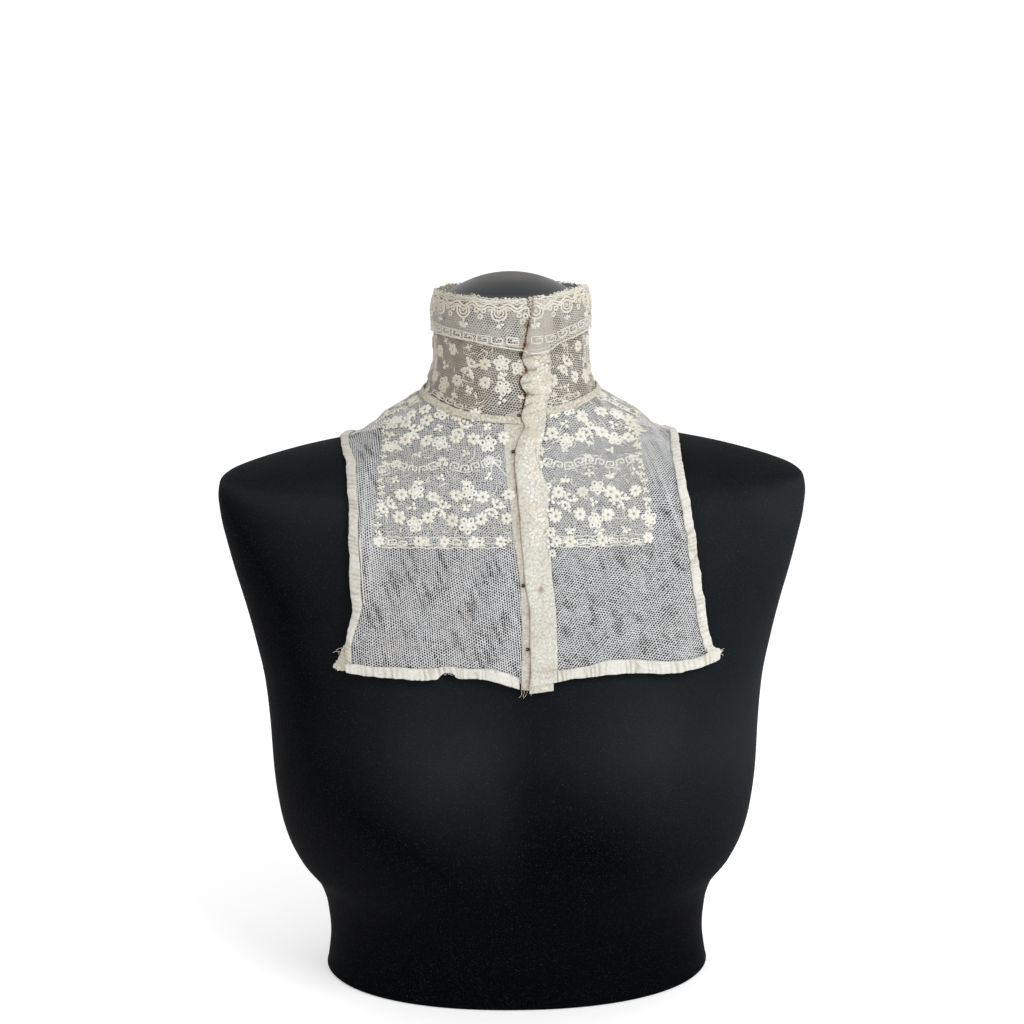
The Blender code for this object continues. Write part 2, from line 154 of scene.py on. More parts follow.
# Outer edges of the panels, by height, to the shoulder ridge.
EDGES = """
height left    right  back_left back_right
0.248 -0.1160  0.1350 -0.1165   0.1185
0.258 -0.1120  0.1300 -0.1158   0.1178
0.268 -0.1080  0.1268 -0.1152   0.1170
0.290 -0.1056  0.1232 -0.1140   0.1152
0.315 -0.1044  0.1200 -0.1130   0.1136
0.340 -0.1046  0.1168 -0.1124   0.1126
0.365 -0.1070  0.1130 -0.1120   0.1120
0.385 -0.1100  0.1112 -0.1118   0.1118
0.398 -0.1118  0.1112 -0.1118   0.1112
"""

# Outer edges of the lace yoke, by the same rule.
YOKE_EDGES = """
height left    right  back_left back_right
0.335 -0.0892  0.0912 -0.0900   0.0900
0.365 -0.0876  0.0880 -0.0880   0.0880
0.390 -0.0846  0.0846 -0.0852   0.0852
0.412 -0.0840  0.0840 -0.0846   0.0846
"""

# Neck seam and lower edge of the top band, by angle round the neck
# (0 front, 90 side, 180 back).
NECK = """
angle seam   band
0     0.4145 0.4590
25    0.4155 0.4600
50    0.4180 0.4620
75    0.4220 0.4640
90    0.4250 0.4648
130   0.4290 0.4650
180   0.4300 0.4650
"""

# Soft folds of the panels: where each starts and ends, how wide and how deep.
FOLDS = """
x_top   z_top  x_low   z_low  wide   rise
-0.098  0.385  -0.094  0.268  0.0085  0.0010
-0.062  0.330  -0.066  0.262  0.0100  0.0009
-0.026  0.335  -0.021  0.262  0.0080  0.0008
 0.046  0.334   0.058  0.262  0.0100  0.0010
 0.082  0.332   0.101  0.262  0.0090  0.0011
 0.099  0.392   0.109  0.300  0.0075  0.0011
"""

HOOKS = """
height
0.4560
0.4165
0.3945
0.3150
0.2755
"""


# --------------------------------------------------------------- reading ----
def read(text):
    """A table with named columns, one row a line."""
    lines = [line.split() for line in text.strip().splitlines()]
    values = np.array([[float(v) for v in line] for line in lines[1:]])
    return {name: values[:, k] for k, name in enumerate(lines[0])}


def smooth(xs, ys, x):
    """Smooth curve through a table's rows that never overshoots them."""
    x = np.clip(np.asarray(x, float), xs[0], xs[-1])
    step = np.diff(xs)
    rise = np.diff(ys) / step
    slope = np.zeros(len(xs))
    slope[0], slope[-1] = rise[0], rise[-1]
    for k in range(1, len(xs) - 1):
        if rise[k - 1] * rise[k] > 0:
            w1 = 2 * step[k] + step[k - 1]
            w2 = step[k] + 2 * step[k - 1]
            slope[k] = (w1 + w2) / (w1 / rise[k - 1] + w2 / rise[k])
    k = np.clip(np.searchsorted(xs, x, side="right") - 1, 0, len(xs) - 2)
    t = (x - xs[k]) / step[k]
    return ((2 * t**3 - 3 * t**2 + 1) * ys[k] + (t**3 - 2 * t**2 + t) * step[k] * slope[k]
            + (-2 * t**3 + 3 * t**2) * ys[k + 1] + (t**3 - t**2) * step[k] * slope[k + 1])


form, ease, opening = read(FORM), read(EASE), read(OPENING)
edges, yoke_edges, neck = read(EDGES), read(YOKE_EDGES), read(NECK)
folds, hooks = read(FOLDS), read(HOOKS)


# -------------------------------------------------------------- surfaces ----
def form_section(z):
    at = form["height"]
    return [smooth(at, form[c], z) for c in ("half_width", "front", "back", "roundness")]


def cloth_section(z):
    a, f, b, n = form_section(z)
    at = ease["height"]
    return (a + smooth(at, ease["side"], z), f + smooth(at, ease["front"], z),
            b + smooth(at, ease["back"], z), n)


def bust(x, z):
    side = np.exp(-0.5 * ((np.abs(x) - BUST["x"]) / BUST["wide"]) ** 2)
    level = (z - BUST["z"]) / BUST["tall"]
    level = np.where(level < 0, level * 1.15, level)
    return BUST["rise"] * side * np.exp(-0.5 * level**2)


def fold_rise(x, z):
    total = 0.0
    for k in range(len(folds["x_top"])):
        zt, zl = folds["z_top"][k], folds["z_low"][k]
        t = np.clip((zt - z) / (zt - zl), 0.0, 1.0)
        mid = folds["x_top"][k] + (folds["x_low"][k] - folds["x_top"][k]) * t
        fade = np.sin(np.pi * np.clip((zt + 0.012 - z) / (zt - zl + 0.012), 0, 1) ** 1.4 / 2) ** 2
        total = total + folds["rise"][k] * fade * np.exp(-0.5 * ((x - mid) / folds["wide"][k]) ** 2)
    return total


def depth(x, z, back=False):
    """Half depth of the section at height z, with the bust and the folds."""
    a, f, b, n = cloth_section(z)
    return b + 0.0 * x if back else f + bust(x, z) + fold_rise(x, z)


def cloth_y(x, z, back=False):
    """Depth of the cloth surface at width x and height z."""
    a, f, b, n = cloth_section(z)
    curve = np.clip(1 - np.abs(x / a) ** n, 0, 1) ** (1 / n)
    return depth(x, z, back) * curve * (1 if back else -1)


def cloth_polar(angle, z):
    """Point of the cloth surface at an angle round the neck (degrees, 0 front)."""
    a, f, b, n = cloth_section(z)
    s, c = np.sin(np.radians(angle)), np.cos(np.radians(angle))
    r = (np.abs(s / a) ** n + np.abs(c / np.where(c > 0, f, b)) ** n) ** (-1 / n)
    return r * s, -r * c


def outward(points):
    """Unit normals of the cloth surface at its own points."""
    x, y, z = points[..., 0], points[..., 1], points[..., 2]

    def level(x, y, z):
        a, f, b, n = cloth_section(z)
        d = np.where(y > 0, depth(x, z, True), depth(x, z))
        return np.abs(x / a) ** n + np.abs(y / d) ** n

    e = 2e-5
    g = np.stack([level(x + e, y, z) - level(x - e, y, z),
                  level(x, y + e, z) - level(x, y - e, z),
                  level(x, y, z + e) - level(x, y, z - e)], axis=-1)
    return g / np.linalg.norm(g, axis=-1, keepdims=True)


def seam_z(angle, column="seam"):
    angle = np.abs((np.asarray(angle, float) + 180) % 360 - 180)
    return smooth(neck["angle"], neck[column], angle)


def tape_drop(angle):
    """The tape's height: less at the sides, where the surface leans outwards."""
    return TAPE_WIDTH * (1 - 0.34 * np.abs(np.sin(np.radians(angle))) ** 2)


def find_tops(back):
    """Where the column of cloth at each width ends: neck tape or shoulder ridge."""
    x = np.arange(0.0, 0.1401, 0.0005)
    low, high = np.full(x.shape, 0.375), np.full(x.shape, 0.4320)
    for _ in range(36):
        z = 0.5 * (low + high)
        y = cloth_y(x, z, back)
        over = cloth_section(z)[0] <= x
        angle = np.degrees(np.arctan2(x, -y))
        over = over | (z > seam_z(angle) - tape_drop(angle) - 2 * SEAM)
        high, low = np.where(over, z, high), np.where(over, low, z)
    return x, low


TOPS = {False: find_tops(False), True: find_tops(True)}


def top_z(x, back=False):
    return np.interp(np.abs(x), *TOPS[back])


def net(inner, outer, cols, rows, low, back=False, short=0.0):
    """Points of the cloth surface: rows from height low up to the top, and
    columns from the inner to the outer edge, which are both given by height.
    The rows close up towards the shoulder ridge, where the surface turns over;
    short is how far below the ridge they stop."""
    s = 1 - np.linspace(0, 1, rows + 1)[:, None]
    u = np.linspace(0, 1, cols + 1)[None, :]
    z = low + (0.40 - low) * (1 - s ** 1.7) + 0 * u
    for _ in range(12):
        x = inner(z) * (1 - u) + outer(z) * u
        top = top_z(x, back) - short
        z = top - (top - low) * s ** 1.7
    return np.stack([x, cloth_y(x, z, back), z], axis=-1)


# ------------------------------------------------------- visible outlines ----
# Outer edges of the garment as they show, by height, in table frame metres.
SHOWN_EDGES = """
height left    right  back_left back_right
0.246 -0.1054  0.1330 -0.1166   0.1186
0.258 -0.1056  0.1302 -0.1158   0.1178
0.268 -0.1060  0.1285 -0.1152   0.1170
0.275 -0.1062  0.1262 -0.1148   0.1164
0.284 -0.1054  0.1243 -0.1142   0.1158
0.292 -0.1034  0.1231 -0.1139   0.1152
0.300 -0.1020  0.1219 -0.1136   0.1146
0.319 -0.1035  0.1194 -0.1130   0.1136
0.337 -0.1037  0.1171 -0.1126   0.1128
0.354 -0.1036  0.1147 -0.1122   0.1122
0.370 -0.1048  0.1124 -0.1124   0.1112
0.384 -0.1070  0.1104 -0.1132   0.1106
0.390 -0.1108  0.1104 -0.1142   0.1106
0.395 -0.1148  0.1112 -0.1152   0.1112
0.402 -0.1164  0.1112 -0.1164   0.1112
"""

SHOWN_YOKE = """
height left    right  back_left back_right
0.335 -0.0889  0.0884 -0.0900   0.0900
0.345 -0.0884  0.0894 -0.0892   0.0892
0.354 -0.0872  0.0898 -0.0888   0.0888
0.367 -0.0860  0.0876 -0.0880   0.0880
0.386 -0.0850  0.0856 -0.0856   0.0856
0.400 -0.0842  0.0842 -0.0850   0.0850
0.412 -0.0838  0.0836 -0.0846   0.0846
"""

# The opening as it shows: x of the overlap's left and right edges, by height.
SLIT = """
height left   right
0.2380 0.0096 0.0272
0.2520 0.0098 0.0272
0.2605 0.0109 0.0279
0.2640 0.0109 0.0279
0.2815 0.0105 0.0276
0.2900 0.0108 0.0274
0.2995 0.0107 0.0271
0.3090 0.0092 0.0262
0.3174 0.0077 0.0252
0.3266 0.0071 0.0246
0.3460 0.0055 0.0234
0.3574 0.0050 0.0232
0.3672 0.0040 0.0235
0.3741 0.0033 0.0222
0.3810 0.0026 0.0200
0.3853 0.0022 0.0190
0.3936 0.0023 0.0184
0.4025 0.0050 0.0204
0.4101 0.0083 0.0218
0.4156 0.0064 0.0222
0.4231 0.0084 0.0227
0.4307 0.0096 0.0252
0.4340 0.0074 0.0256
0.4385 0.0060 0.0252
0.4425 0.0078 0.0250
0.4460 0.0104 0.0250
0.4500 0.0084 0.0249
0.4532 0.0075 0.0248
0.4634 0.0095 0.0250
0.4742 0.0115 0.0262
0.4863 0.0141 0.0280
0.4960 0.0150 0.0290
"""

# Lower and upper edges of the hem binding, front, by x.
HEM_FRONT = """
x       low    high
-0.1180 0.2604 0.2650
-0.1080 0.2602 0.2648
-0.0985 0.2594 0.2645
-0.0890 0.2590 0.2642
-0.0700 0.2582 0.2640
-0.0540 0.2573 0.2638
-0.0490 0.2575 0.2638
-0.0464 0.2596 0.2643
-0.0442 0.2615 0.2648
-0.0402 0.2619 0.2650
-0.0378 0.2609 0.2648
-0.0364 0.2588 0.2642
-0.0330 0.2580 0.2638
-0.0257 0.2580 0.2636
-0.0150 0.2564 0.2634
-0.0037 0.2530 0.2604
 0.0040 0.2504 0.2580
 0.0108 0.2498 0.2590
 0.0272 0.2552 0.2622
 0.0380 0.2572 0.2640
 0.0481 0.2582 0.2656
 0.0618 0.2596 0.2681
 0.0755 0.2597 0.2680
 0.0870 0.2587 0.2665
 0.0993 0.2578 0.2652
 0.1135 0.2582 0.2652
 0.1190 0.2590 0.2662
 0.1290 0.2612 0.2690
 0.1340 0.2626 0.2698
"""

HEM_BACK = """
x       low    high
-0.1200 0.2650 0.2722
-0.1000 0.2636 0.2712
-0.0800 0.2640 0.2714
-0.0550 0.2630 0.2708
-0.0300 0.2642 0.2716
-0.0050 0.2634 0.2710
 0.0200 0.2644 0.2718
 0.0450 0.2632 0.2708
 0.0700 0.2640 0.2716
 0.0950 0.2630 0.2708
 0.1200 0.2644 0.2720
"""

# Top edge of the collar and lower edge of its turned band, by angle round the
# neck: -180 to 180, 0 in front, positive to the right as seen from the front.
RIM = """
angle rim    band
-180  0.4905 0.4650
-130  0.4915 0.4650
-100  0.4912 0.4652
-86   0.4918 0.4660
-75   0.4932 0.4662
-62   0.4936 0.4659
-48   0.4930 0.4652
-38   0.4926 0.4646
-27   0.4928 0.4638
-18   0.4918 0.4622
-10   0.4912 0.4606
 3    0.4912 0.4586
 9    0.4914 0.4578
 12   0.4916 0.4558
 17   0.4922 0.4554
 24   0.4924 0.4566
 30   0.4926 0.4585
 36   0.4938 0.4612
 48   0.4950 0.4636
 62   0.4958 0.4654
 72   0.4956 0.4664
 82   0.4932 0.4668
 92   0.4915 0.4666
 102  0.4912 0.4662
 130  0.4915 0.4652
 180  0.4905 0.4650
"""

# Soft creases of the cloth besides the folds of the form's cover, which the
# back and the collar have as the front does: ends, width and rise (the collar's
# by angle in degrees, the others in metres).
FRONT_CREASES = """
x_top   z_top  x_low   z_low  wide   rise
-0.1020 0.380  -0.0900 0.345  0.0030 0.0006
-0.0880 0.336  -0.0840 0.270  0.0040 0.0005
-0.0520 0.334  -0.0480 0.268  0.0034 0.0004
-0.0380 0.330  -0.0400 0.266  0.0030 0.0005
-0.0120 0.330  -0.0090 0.268  0.0036 0.0005
 0.0340 0.334   0.0420 0.268  0.0034 0.0004
 0.0640 0.334   0.0760 0.276  0.0036 0.0005
 0.0930 0.340   0.1100 0.282  0.0034 0.0006
 0.0990 0.394   0.1030 0.350  0.0028 0.0009
 0.0920 0.396   0.0960 0.362  0.0026 0.0006
-0.0960 0.394  -0.0990 0.352  0.0030 0.0007
 0.0870 0.404   0.1060 0.372  0.0022 0.0012
 0.0895 0.399   0.0985 0.366  0.0020 0.0010
 0.0900 0.406   0.1090 0.392  0.0020 0.0010
 0.0950 0.372   0.1060 0.338  0.0028 0.0009
-0.0930 0.360  -0.0925 0.322  0.0020 0.0011
-0.0968 0.352  -0.0952 0.310  0.0016 0.0009
-0.0890 0.402  -0.1060 0.392  0.0022 0.0010
-0.0900 0.396  -0.0940 0.372  0.0022 0.0009
-0.0760 0.411  -0.0900 0.398  0.0026 0.0009
-0.0620 0.414  -0.0700 0.395  0.0024 0.0008
 0.0640 0.416   0.0720 0.396  0.0024 0.0008
"""

BACK_CREASES = """
x_top   z_top  x_low   z_low  wide   rise
-0.0960 0.388  -0.0990 0.276  0.0080 0.0011
-0.0700 0.350  -0.0740 0.272  0.0052 0.0009
-0.0440 0.380  -0.0360 0.300  0.0060 0.0007
-0.0180 0.352  -0.0230 0.270  0.0042 0.0008
 0.0060 0.392   0.0020 0.330  0.0050 0.0006
 0.0290 0.352   0.0360 0.271  0.0056 0.0009
 0.0560 0.378   0.0520 0.282  0.0048 0.0007
 0.0810 0.356   0.0900 0.272  0.0064 0.0010
 0.1010 0.386   0.1060 0.284  0.0060 0.0010
"""

shown, shown_yoke, slit = read(SHOWN_EDGES), read(SHOWN_YOKE), read(SLIT)
hem_front, hem_back, rims = read(HEM_FRONT), read(HEM_BACK), read(RIM)
front_creases, back_creases = read(FRONT_CREASES), read(BACK_CREASES)
HOME = np.array([0.0, CENTRE_Y, -CUT_Z])


def waves(a, b, size, seed, count=7):
    """Soft unevenness between about -1 and 1, with bumps of about one size."""
    rng = np.random.default_rng(seed)
    total = 0.0
    for _ in range(count):
        turn, phase = rng.uniform(0, 2 * math.pi, 2)
        rate = 2 * math.pi / size * rng.uniform(0.6, 1.5)
        total = total + np.sin((a * math.cos(turn) + b * math.sin(turn)) * rate + phase)
    return total / (1.7 * math.sqrt(count / 2))


def ramp(value, low, high):
    t = np.clip((value - low) / (high - low), 0, 1)
    return t * t * (3 - 2 * t)


def table_edge(table, column, inset=0.0):
    return lambda z: smooth(table["height"], table[column], z) + inset


def slit_left(z):
    return smooth(slit["height"], slit["left"], z)


def slit_right(z):
    return smooth(slit["height"], slit["right"], z)


def rim_at(angle, column="rim"):
    angle = (np.asarray(angle, float) + 180) % 360 - 180
    return smooth(rims["angle"], rims[column], angle)


def on_cloth(x, z, back=False):
    """Places on the cloth surface and its outward directions there."""
    x, z = np.broadcast_arrays(np.asarray(x, float), np.asarray(z, float))
    p = np.stack([x, cloth_y(x, z, back), z], axis=-1)
    return p, outward(p)


def on_collar(angle, z):
    angle, z = np.broadcast_arrays(np.asarray(angle, float), np.asarray(z, float))
    x, y = cloth_polar(angle, z)
    p = np.stack([x, y, z], axis=-1)
    return p, outward(p)


# -------------------------------------------------------------- unevenness ----
def creases(table, x, z):
    total = 0.0
    for k in range(len(table["x_top"])):
        zt, zl = table["z_top"][k], table["z_low"][k]
        t = (zt - z) / (zt - zl)
        mid = table["x_top"][k] + (table["x_low"][k] - table["x_top"][k]) * np.clip(t, 0, 1)
        fade = ramp(t, -0.18, 0.25) * (1 - 0.75 * ramp(t, 0.7, 1.15))
        total = total + table["rise"][k] * fade * np.exp(-0.5 * ((x - mid) / table["wide"][k]) ** 2)
    return total


def body_relief(p, back):
    """What the soft cloth adds to the cloth surface: the same for every layer."""
    x, z = p[..., 0], p[..., 2]
    hump = 2.3 * MM * np.exp(-((np.abs(x) - 0.0860) / 0.0165) ** 2) * ramp(z, 0.390, 0.412)
    if back:
        soft = 0.20 * MM * waves(x * 1.6, z * 0.5, 0.020, 31) + 0.00022 * waves(x, z, 0.045, 32)
        return soft + creases(back_creases, x, z) + 0.0002 + hump
    lean = np.where(x < 0.005, 0.0, 0.55)
    soft = 0.17 * MM * waves((x + lean * z) * 1.9, (z - lean * x) * 0.42, 0.018, 21)
    return soft + 0.00018 * waves(x, z, 0.040, 22) + creases(front_creases, x, z) + 0.0002 + hump


def collar_relief(p):
    angle = np.degrees(np.arctan2(p[..., 0], -p[..., 1]))
    z = p[..., 2]
    soft = 0.00026 * waves(angle * 0.0009, z * 0.8, 0.020, 41)
    # the soft hollow below the turned band and the drag lines beside the opening
    drag = 0.0005 * np.exp(-0.5 * ((z - 0.4445 - 0.00035 * (angle + 62)) / 0.0022) ** 2)
    drag = drag * ramp(-angle, 35, 60) * ramp(angle, -110, -85)
    pull = 0.0004 * np.exp(-0.5 * ((z - 0.4375 + 0.0002 * (angle - 60)) / 0.0026) ** 2)
    pull = pull * ramp(angle, 30, 50) * (1 - ramp(angle, 95, 120))
    back = 0.0005 * np.exp(-0.5 * ((z - 0.4480 - 0.00012 * angle) / 0.0030) ** 2)
    back = back * ramp(np.abs(angle), 120, 150)
    close = 0.0015 * np.exp(-((angle + 95) / 42) ** 2) * ramp(z, 0.432, 0.455)
    close = close + 0.0016 * np.exp(-((angle + 95) / 50) ** 2) * ramp(z, 0.478, 0.492)
    close = close + 0.0008 * np.exp(-((angle - 95) / 50) ** 2) * ramp(z, 0.482, 0.492)
    return soft + drag + pull + back + 0.0003 - close


# ------------------------------------------------------------------ charts ----
class Chart:
    """A part of the cloth surface laid flat: u across, v up along the cloth."""

    def __init__(self, us, vs, points, normals, relief):
        self.us, self.vs, self.points, self.normals = us, vs, points, normals
        self.relief = relief

    def __call__(self, u, v, h=0.0):
        a = np.clip((u - self.us[0]) / (self.us[1] - self.us[0]), 0, len(self.us) - 1.001)
        b = np.clip((v - self.vs[0]) / (self.vs[1] - self.vs[0]), 0, len(self.vs) - 1.001)
        i, j = a.astype(int), b.astype(int)
        a, b = (a - i)[:, None], (b - j)[:, None]

        def mix(t):
            return ((t[j, i] * (1 - a) + t[j, i + 1] * a) * (1 - b)
                    + (t[j + 1, i] * (1 - a) + t[j + 1, i + 1] * a) * b)

        p, n = mix(self.points), mix(self.normals)
        n = n / np.linalg.norm(n, axis=1, keepdims=True)
        return p, n

    def lay(self, u, v, h):
        p, n = self(u, v)
        return p + n * (h + self.relief(p))[:, None], p


def column_chart(back):
    """Columns of cloth at each width, from the hem up and over the shoulder."""
    start = BACK_YOKE_Z if back else YOKE_Z
    xs = np.arange(-0.150, 0.1501, 0.001)
    width = np.abs(xs)
    low, high = np.full(xs.shape, 0.357), np.full(xs.shape, 0.4400)
    for _ in range(40):
        mid = 0.5 * (low + high)
        over = cloth_section(mid)[0] <= width
        high, low = np.where(over, mid, high), np.where(over, low, mid)
    top = low
    s = np.linspace(0, 1, 260)[:, None]
    z = 0.236 + (top - 0.236) * (1 - (1 - s) ** 1.7)
    y = cloth_y(xs + 0 * z, z, back)
    t = np.linspace(0, 1, 90)[1:, None]
    ridge = top < 0.4395
    z2 = np.where(ridge, top - 0.030 * t ** 1.7, top)
    y2 = np.where(ridge, cloth_y(xs + 0 * z2, z2, not back), y[-1])
    z, y = np.concatenate([z, z2]), np.concatenate([y, y2])
    arc = np.concatenate([np.zeros((1, len(xs))),
                          np.cumsum(np.hypot(np.diff(z, axis=0), np.diff(y, axis=0)), axis=0)])
    n = outward(np.stack([xs + 0 * z, y, z], axis=-1))
    vs = np.arange(-0.106, 0.1601, 0.00075)
    points, normals = np.zeros((len(vs), len(xs), 3)), np.zeros((len(vs), len(xs), 3))
    ends = np.zeros(len(xs))
    for k, x in enumerate(xs):
        a = arc[:, k] - np.interp(start, z[:260, k], arc[:260, k])
        points[:, k, 0] = x
        points[:, k, 1] = np.interp(vs, a, y[:, k])
        points[:, k, 2] = np.interp(vs, a, z[:, k])
        for c in range(3):
            normals[:, k, c] = np.interp(vs, a, n[:, k, c])
        ends[k] = a[259]
    if back:                    # seen from behind, u runs the other way
        points, normals, xs, ends = points[:, ::-1], normals[:, ::-1], -xs[::-1], ends[::-1]
    chart = Chart(xs, vs, points, normals, lambda p: body_relief(p, back))
    chart.top = lambda u: np.interp(u, xs, ends)
    return chart


TURN = 0.0515 * math.pi / 180          # collar cloth to a degree round the neck


def collar_chart():
    angle = np.arange(0, 386, 1.5)
    z = np.arange(0.396, 0.5005, 0.0009)
    p, n = on_collar(angle[None, :], z[:, None])
    return Chart(angle * TURN, z, p, n, collar_relief)


front, behind, collar = column_chart(False), column_chart(True), collar_chart()


# ------------------------------------------------------------ flat patterns ----
class Flat:
    """A pattern drawn flat: points (u, v, height), how dark each is, and faces."""

    def __init__(self):
        self.verts, self.quads, self.tris, self.tones, self.count = [], [], [], [], 0

    def add(self, verts, quads=None, tris=None, tone=0.0):
        verts = np.asarray(verts, float).reshape(-1, 3)
        self.tones.append(np.broadcast_to(np.asarray(tone, float), (len(verts),)))
        if quads is not None and len(quads):
            self.quads.append(np.asarray(quads) + self.count)
        if tris is not None and len(tris):
            self.tris.append(np.asarray(tris) + self.count)
        self.verts.append(verts)
        self.count += len(verts)

    def arrays(self):
        none4, none3 = np.zeros((0, 4), int), np.zeros((0, 3), int)
        return (np.concatenate(self.verts),
                np.concatenate(self.quads) if self.quads else none4,
                np.concatenate(self.tris) if self.tris else none3)


def strip_quads(rows, cols, closed_rows=False, closed_cols=False):
    """Faces of a net of rows by cols points; columns run to the right and rows up."""
    r = np.arange(rows if closed_rows else rows - 1)
    c = np.arange(cols if closed_cols else cols - 1)
    r, c = np.meshgrid(r, c, indexing="ij")
    r2, c2 = (r + 1) % rows, (c + 1) % cols
    return np.stack([r * cols + c, r * cols + c2, r2 * cols + c2, r2 * cols + c],
                    axis=-1).reshape(-1, 4)


def hex_net(flat, inside, box, pitch, thread, seed, low, heavy=None, bend=0.35 * MM, turn=0.0,
            spread=(1.06, 0.93), drawn=(0.0, 0.0)):
    """A bobbinet: six-sided holes, each thread a ribbon between two of them.  The
    grain is turned by turn degrees, and spread makes the holes wider than tall; drawn
    pulls them long towards an angle, by a share."""
    rng = np.random.default_rng(seed)
    u0, u1, v0, v1 = box
    mid = np.array([(u0 + u1) / 2, (v0 + v1) / 2])
    reach = math.hypot(u1 - u0, v1 - v0) / 2 + 2 * pitch
    a, b = np.array([pitch * math.sqrt(3) / 2, pitch / 2]), np.array([0.0, pitch])
    count = int(reach / a[0]) + 2
    q, r = np.meshgrid(np.arange(-count, count + 1), np.arange(-2 * count, 2 * count + 1),
                       indexing="ij")
    q, r = q.ravel(), r.ravel()
    c, s = math.cos(math.radians(turn)), math.sin(math.radians(turn))
    grain = np.array([[c, s], [-s, c]])
    at = (q[:, None] * a + r[:, None] * b) @ grain + mid
    ok = (at[:, 0] > u0) & (at[:, 0] < u1) & (at[:, 1] > v0) & (at[:, 1] < v1)
    q, r, at = q[ok], r[ok], at[ok]

    def bent(u, v):
        du = waves(u, v * 0.7, 0.034, seed + 1) + 0.5 * waves(u, v * 0.4, 0.013, seed + 2)
        dv = waves(u, v, 0.031, seed + 3) + 0.4 * waves(u * 1.5, v, 0.014, seed + 4)
        return u + bend * du, v + bend * dv

    bu, bv = bent(*at.T)
    ok = inside(bu, bv)
    q, r, at, bu, bv = q[ok], r[ok], at[ok], bu[ok], bv[ok]
    n = len(q)
    width = thread * (1 + rng.normal(0, 0.10, n))
    if heavy is not None:
        width = width * heavy(bu, bv)
    small = (pitch - np.clip(width, 0.08 * pitch, 0.80 * pitch)) / math.sqrt(3)
    angles = np.radians(np.arange(6) * 60)
    rays = np.stack([np.cos(angles), np.sin(angles)], axis=1)
    nudge = rng.normal(0, 0.035 * pitch, (n, 1, 2))
    loose = 1 + rng.normal(0, 0.06, (n, 6, 1))
    pull = np.stack([1 + 0.09 * waves(bu, bv, 0.016, seed + 5),
                     1 - 0.09 * waves(bu, bv, 0.016, seed + 5)], axis=1)[:, None]
    lean = 0.13 * waves(bu, bv, 0.014, seed + 6)[:, None, None]
    shape = (rays * spread)[None] * pull
    shape = shape + lean * shape[:, :, ::-1]
    hole = (shape * small[:, None, None] * loose + nudge) @ grain
    way = np.array([math.cos(math.radians(drawn[0])), math.sin(math.radians(drawn[0]))])
    far = (hole @ way)[..., None] * way
    hole = far * (1 + drawn[1]) + (hole - far) * (1 - 0.8 * drawn[1])
    inner = at[:, None] + hole
    iu, iv = bent(inner[..., 0].ravel(), inner[..., 1].ravel())
    level = low + rng.normal(0, 0.03 * MM, 6 * n)
    verts = [np.stack([iu, iv, level], axis=1)]
    code = (q.astype(np.int64) + 5000) * 100000 + (r + 50000)
    order = np.argsort(code)

    def neighbour(dq, dr):
        want = code + dq * 100000 + dr
        k = np.clip(np.searchsorted(code[order], want), 0, n - 1)
        found = order[k]
        return np.where(code[found] == want, found, -1)

    ways = [(1, 0), (0, 1), (-1, 1), (-1, 0), (0, -1), (1, -1)]
    near = [neighbour(*w) for w in ways]
    me = np.arange(n) * 6
    quads, tris = [], []
    for k in range(3):
        ok = near[k] >= 0
        o = near[k][ok] * 6
        m = me[ok]
        quads.append(np.stack([m + k, o + (k + 4) % 6, o + (k + 3) % 6, m + (k + 1) % 6], axis=1))
    ok = (near[5] >= 0) & (near[0] >= 0)
    tris.append(np.stack([me[ok], near[5][ok] * 6 + 2, near[0][ok] * 6 + 4], axis=1))
    ok = (near[0] >= 0) & (near[1] >= 0)
    tris.append(np.stack([me[ok] + 1, near[0][ok] * 6 + 3, near[1][ok] * 6 + 5], axis=1))
    start = 6 * n
    for k in range(6):                                  # cut edge: half a thread
        cut = near[k] < 0
        if not cut.any():
            continue
        ends = []
        for e in (k, (k + 1) % 6):
            o = at[cut] + (rays[e] * pitch / math.sqrt(3)) @ grain
            ou, ov = bent(*o.T)
            verts.append(np.stack([ou, ov, np.full(len(ou), low)], axis=1))
            ends.append(start + np.arange(len(ou)))
            start += len(ou)
        quads.append(np.stack([me[cut] + k, ends[0], ends[1], me[cut] + (k + 1) % 6], axis=1))
    flat.add(np.concatenate(verts), np.concatenate(quads), np.concatenate(tris))
    return n


def stroke(flat, path, width, rise, base, closed=False, taper=0.35):
    """A cord laid along a line: raised, with thinner ends."""
    path = np.asarray(path, float)
    if closed:
        ahead = np.roll(path, -1, 0) - np.roll(path, 1, 0)
    else:
        ahead = np.gradient(path, axis=0)
    ahead = ahead / np.maximum(np.linalg.norm(ahead, axis=1, keepdims=True), 1e-9)
    side = np.stack([ahead[:, 1], -ahead[:, 0]], axis=1)
    scale = np.ones(len(path))
    if not closed:
        scale[0] = scale[-1] = taper
    rows = []
    for off, high in ((0.5, 0.0), (0.30, 0.9), (-0.30, 0.9), (-0.5, 0.0)):
        at = path + side * (off * width * scale)[:, None]
        rows.append(np.stack([at[:, 0], at[:, 1], base + high * rise * scale], axis=1))
    verts = np.stack(rows[::-1], axis=1)                # along, across
    # painted shade: the cord's two outer rows are darker, where it rounds away
    flat.add(verts, strip_quads(len(path), 4, closed_rows=closed),
             tone=np.tile([0.20, 0.0, 0.0, 0.20], len(path)))


# ------------------------------------------------------------- lace motifs ----
def turned(points, angle, scale=1.0, at=(0.0, 0.0)):
    c, s = math.cos(angle), math.sin(angle)
    points = np.asarray(points, float) * scale
    return np.stack([points[:, 0] * c - points[:, 1] * s + at[0],
                     points[:, 0] * s + points[:, 1] * c + at[1]], axis=1)


FLOSS = 0.55 * MM                      # how far the stitches stand off the net


